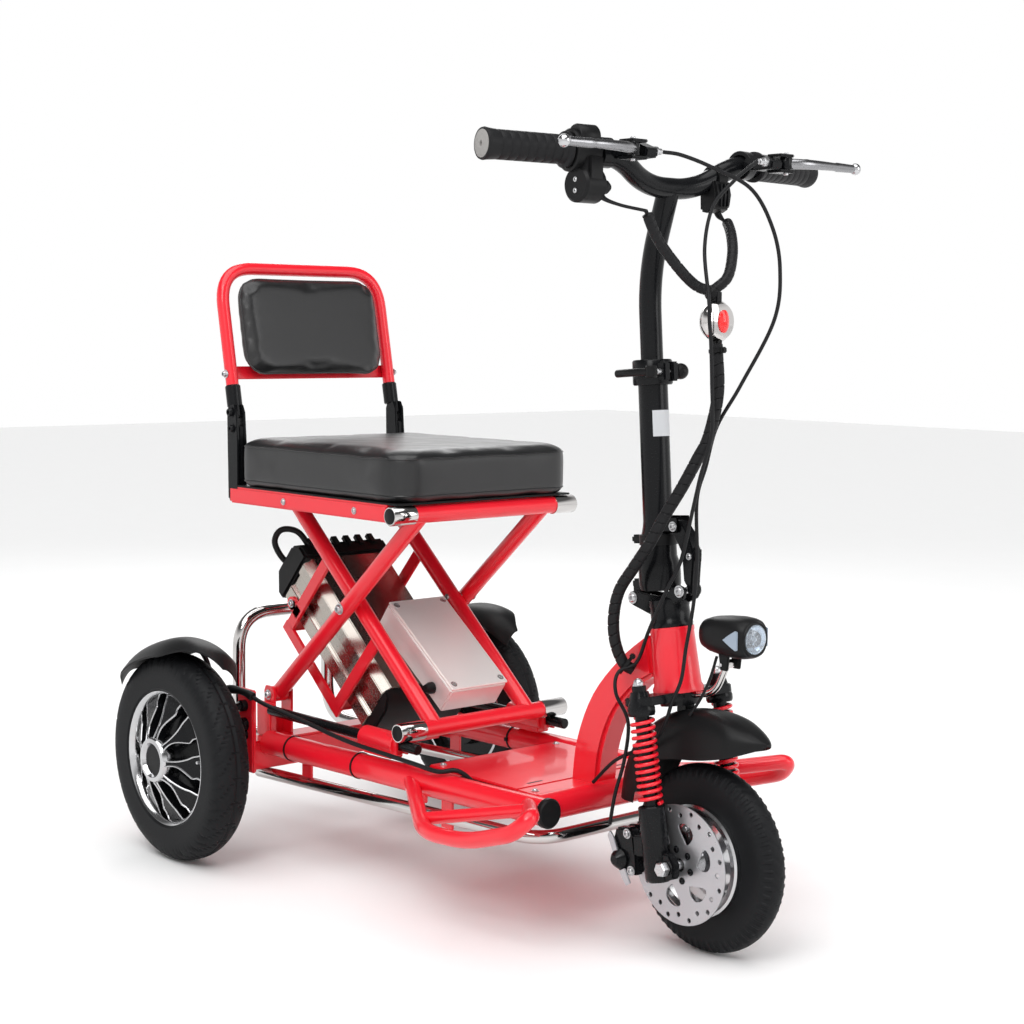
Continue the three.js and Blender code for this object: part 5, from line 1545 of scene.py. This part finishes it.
def throttle_body():
    """The ring beside the twist grip, with the round housing that hangs under it."""
    ring = at(lathe([(14.8, 38), (25, 38), (27, 40), (27, 73), (25, 75), (14.8, 75)], 48), along_grip())
    lobe = at(lathe([(0, 40), (15.5, 40), (17, 42), (17, 68), (15.5, 70), (0, 70)], 32),
              Matrix.Translation((6, 0, 16)) @ along_grip())
    barrel = at(lathe([(0, -18), (20, -18), (23, -15), (23, 15), (20, 18), (0, 18)], 40),
                Matrix.Translation((352, 163, 1008)) @ TO_Y)
    neck = block((340, 150, 1008), (374, 178, 1046), 4)
    parts = [(ring, PLASTIC), (lobe, PLASTIC), (barrel, PLASTIC), (neck, PLASTIC)]
    gland = at(lathe([(0, 0), (9, 0), (9, 8), (5, 14), (0, 14)], 24),
               Matrix.Translation((362, 146, 1006)) @ TO_MINUS_Y)
    parts.append((gland, PLASTIC))
    for z in (1014, 1000):
        parts += bolt((352, 181, z), (0, 1, 0), 2.4, 1.6)
    return flipped(parts)


def switch_body():
    outline = [(338, 986), (352, 983), (366, 990), (369, 1008), (364, 1028), (344, 1030), (337, 1012)]
    parts = [(prism(outline, 63, 95, 3), PLASTIC)]
    strap = at(lathe([(14.3, -8), (17, -8), (17, 8), (14.3, 8)], 32),
               Matrix.Translation((350, 80, 1030)) @ TO_Y)
    parts.append((strap, PLASTIC))
    for y in (72, 79, 86):
        parts.append((block((366, y - 1.4, 992), (370.4, y + 1.4, 1022), 0.5), BLACK))
    return parts


def brake_lever():
    x, y, z = LEVER_PIVOT
    path = smooth_path(route((x, y, z), (x + 9, y + 14, z), (x + 15, y + 32, z), (x + 17, y + 62, z),
                             (x + 15, y + 98, z), (x + 14, y + 126, z)), 30)
    blade = tube(path, lambda s, a: 6.4 - s * 0.018 + (0.8 if s > 90 else 0), 20, 1)
    blade = [Vector((p.x, p.y, z + (p.z - z) * 1.15)) for p in blade[0]], blade[1]
    hub = lathe([(3.6, -8), (8, -8), (8.6, -7), (8.6, 7), (8, 8), (3.6, 8)], 28)
    return [(blade, LEVER), (at(hub, Matrix.Translation((x, y, z))), BLACK),
            (ball((x + 14, y + 130, z), 8), POLISHED)]


skin("stem_upper", "handlebar", [(stem_upper(), BLACK)])
skin("handlebar", "handlebar", handlebar())
skin("grip_left", "handlebar", grip(start=48, flange=21, ribs=9))
skin("throttle_grip", "throttle", flipped(grip(start=76, flange=23, ribs=8)))
skin("throttle_body", "handlebar", throttle_body())
skin("switch_body", "handlebar", switch_body())
skin("brake_lever_left", "lever_left", brake_lever())
skin("brake_lever_right", "lever_right", flipped(brake_lever()))
button = at(lathe([(0, 0), (5, 0), (5, 4.6), (4, 6), (0, 6.4)], 24),
            Matrix.Translation((337.4, 79, 1000)) @ Matrix.Rotation(math.radians(-90), 4, "Y"))
skin("light_button", "light_switch", [(button, ORANGE)])


# ---------------------------------------------------------------- indicator light, looms and cables
PILOT = Vector((424, 6, 838))


def indicator():
    place = Matrix.Translation(PILOT) @ TO_X
    body = lathe([(0, -14), (14, -14), (22, -9), (27, 0), (27, 5), (23, 11), (15, 13), (0, 13)], 48)
    lens = lathe([(0, 12), (11, 12), (11, 15), (7, 17.4), (0, 18.4)], 40)
    lens = [Vector((p.x * 1.35, p.y * 0.85, p.z)) for p in lens[0]], lens[1]
    clip = block((-8, -6, 22), (6, 6, 40), 2)
    return [(at(body, place), CHROME), (at(lens, place), RED_LENS),
            (at(clip, Matrix.Translation(PILOT)), PLASTIC),
            (at(clip, Matrix.Translation(PILOT) @ Matrix.Rotation(math.pi, 4, "Y")), PLASTIC)]


LOOM_RADIUS = 8.0
CABLE_RADIUS = 2.5
MOTOR_LEAD_RADIUS = 3.4
WINDING_PITCH = 15.0


def spiral(s, a):
    """The radius of a spirally wrapped loom: a narrow gap winds along it."""
    turn = (s / WINDING_PITCH - a / (2 * math.pi)) % 1
    return LOOM_RADIUS - 1.3 if turn < 0.1 else LOOM_RADIUS


LOOM = route((428, 4, 809), (434, 2, 746), (430, -10, 689), (420, -20, 659), (404, -33, 619),
             (384, -42, 583), (364, -50, 544), (341, -54, 512), (316, -56, 478), (304, -54, 442),
             (303, -50, 407), (311, -42, 378), (323, -33, 368))
CABLE_LEFT = route((416, 90, 1050), (412, 76, 1040), (402, 60, 1023), (389, 35, 990), (400, 8, 934),
                   (444, -30, 866), (444, -28, 838), (446, -27, 814), (440, -17, 762), (446, -22, 694),
                   (432, -27, 636), (423, -30, 594), (409, -36, 526), (392, -44, 486), (361, -44, 429),
                   (333, -38, 381), (318, -58, 367), (324, -68, 341), (336, -56, 302), (328, -54, 248),
                   (323, -66, 201), (325, -79, 151))
CABLE_RIGHT = route((416, -90, 1050), (426, -66, 1047), (442, -25, 1033), (472, 15, 1007), (494, 32, 959),
                    (507, 34, 905), (506, 26, 840), (464, 12, 756), (426, 10, 701), (419, -2, 649),
                    (415, -14, 604), (421, -18, 526), (420, -22, 470), (417, -32, 410), (417, -40, 369),
                    (407, -46, 339), (399, -48, 314), (380, -47, 285), (340, -45, 262), (300, -46, 240),
                    (258, -44, 203))
THROTTLE_LEAD = route((383, -86, 979), (385, -64, 942), (397, -36, 905), (405, -12, 884), (418, 4, 877))
SWITCH_LEAD = route((362, 89, 973), (372, 84, 968), (400, 60, 950), (420, 40, 925), (428, 22, 895),
                    (418, 4, 877))
MOTOR_LEAD = route((-400, -247, 173.6), (-392, -247, 236), (-368, -236, 262), (-335, -222, 262),
                   (-297, -211, 248), (-229, -192, 232), (-131, -180, 215), (-33, -173, 208),
                   (20, -168, 204), (66, -164, 201), (84, -149, 204), (93, -139, 199), (101, -130.5, 189))


def bent(name, nodes, path, radius, spans, seg=12, edge=0.3):
    """A cable made in lengths. Each length runs down from a height to a lower one, and rides on no body."""
    travelled = [0.0]
    for p, q in zip(path, path[1:]):
        travelled.append(travelled[-1] + (q - p).length)
    for number, (high, low, upper, lower) in enumerate(spans):
        inside = [i for i, p in enumerate(path) if low <= p.z <= high]
        first, last = max(0, inside[0] - 1), min(len(path) - 1, inside[-1] + 1)
        start = travelled[first]

        def thickness(s, a, start=start):
            return radius(s + start, a)

        length = piece(f"{name}_{number + 1}", None, nodes if number == 0 else [],
                       [(tube(path[first : last + 1], thickness, seg, edge), CABLE)])
        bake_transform(length)


def cable_radius(s, a):
    return CABLE_RADIUS


def wrap(s, a):
    """A sleeve that starts thin and is wound with tape."""
    if s < 6:
        return 2.6
    return 7.2 if (s / 9.0 - a / (2 * math.pi)) % 1 > 0.12 else 6.2


skin("indicator_light", "handlebar", indicator())
loom_path = smooth_path(LOOM, 420)
bent("loom", ["loom"], loom_path, spiral,
     [(809, 583, "handlebar", "stem"), (583, 452, "stem", "fork"), (452, 368, "fork", "frame")], 32, 1)
bent("brake_cable_right", ["brake_cable_right"], smooth_path(CABLE_RIGHT, 240), cable_radius,
     [(1050, 640, "handlebar", "stem"), (640, 400, "stem", "fork"), (400, 203, "fork", "frame")])
bent("brake_cable_left", ["brake_cable_left"], smooth_path(CABLE_LEFT, 260), cable_radius,
     [(1050, 636, "handlebar", "stem"), (636, 430, "stem", "fork"), (430, 375, "fork", "frame"),
      (375, 302, "frame", "fork"), (302, 166, "fork", "fork_slider")])


def switch_leads():
    parts = [(tube(smooth_path(path, 90), wrap, 20, 0.5), CABLE) for path in (THROTTLE_LEAD, SWITCH_LEAD)]
    for shift in (-3, 3):
        thin = route((362, -146 + shift, 1003), (366, -146 + shift, 992), (373, -122, 984), (384, -86, 978))
        parts.append((tube(smooth_path(thin, 24), 2.2, 10, 0.3), CABLE))
    for shift in (-3, 3):
        thin = route((350 + shift, 84, 988), (352 + shift, 88, 980), (358, 89, 975), (368, 86, 970))
        parts.append((tube(smooth_path(thin, 24), 2.4, 10, 0.3), CABLE))
    parts.append((ball((419, 4, 874), 10.5), PLASTIC))
    return parts


def tie(path, height, body, radius):
    """A knotted tie round the loom at a height."""
    i = min(range(len(path)), key=lambda k: abs(path[k].z - height))
    turn = (path[i + 1] - path[i]).to_track_quat("Z", "X").to_matrix().to_4x4()
    band = lathe([(8.2, -2), (radius, -2.4), (radius, 2.4), (8.2, 2)], 28)
    knot = block((radius - 2, -4, -4), (radius + 5, 4, 4), 1.5)
    place = Matrix.Translation(path[i]) @ turn
    return piece(f"loom_tie_{height}", body, [],
                 [(at(band, place), PLASTIC), (at(knot, place), PLASTIC)])


tie(loom_path, 800, "handlebar", radius=11)
tie(loom_path, 374, "frame", radius=14)


def motor_lead():
    path = smooth_path(MOTOR_LEAD, 120)
    boot = [p for p in path if -384 < p.x < -318]
    return [(tube(path, MOTOR_LEAD_RADIUS, 12, 0.5), CABLE),
            (tube(boot, lambda s, a: 6.2 + 0.9 * math.sin(s * 1.1), 18, 1), PLASTIC)]


skin("switch_leads", "handlebar", switch_leads())
skin("motor_lead", "frame", motor_lead())
LAMP_LEAD = route((452, -10, 402), (446, -16, 372), (436, -22, 345), (420, -26, 320))
piece("lamp_lead", "fork", [], [(tube(smooth_path(LAMP_LEAD, 40), 2, 10, 0.3), CABLE)])
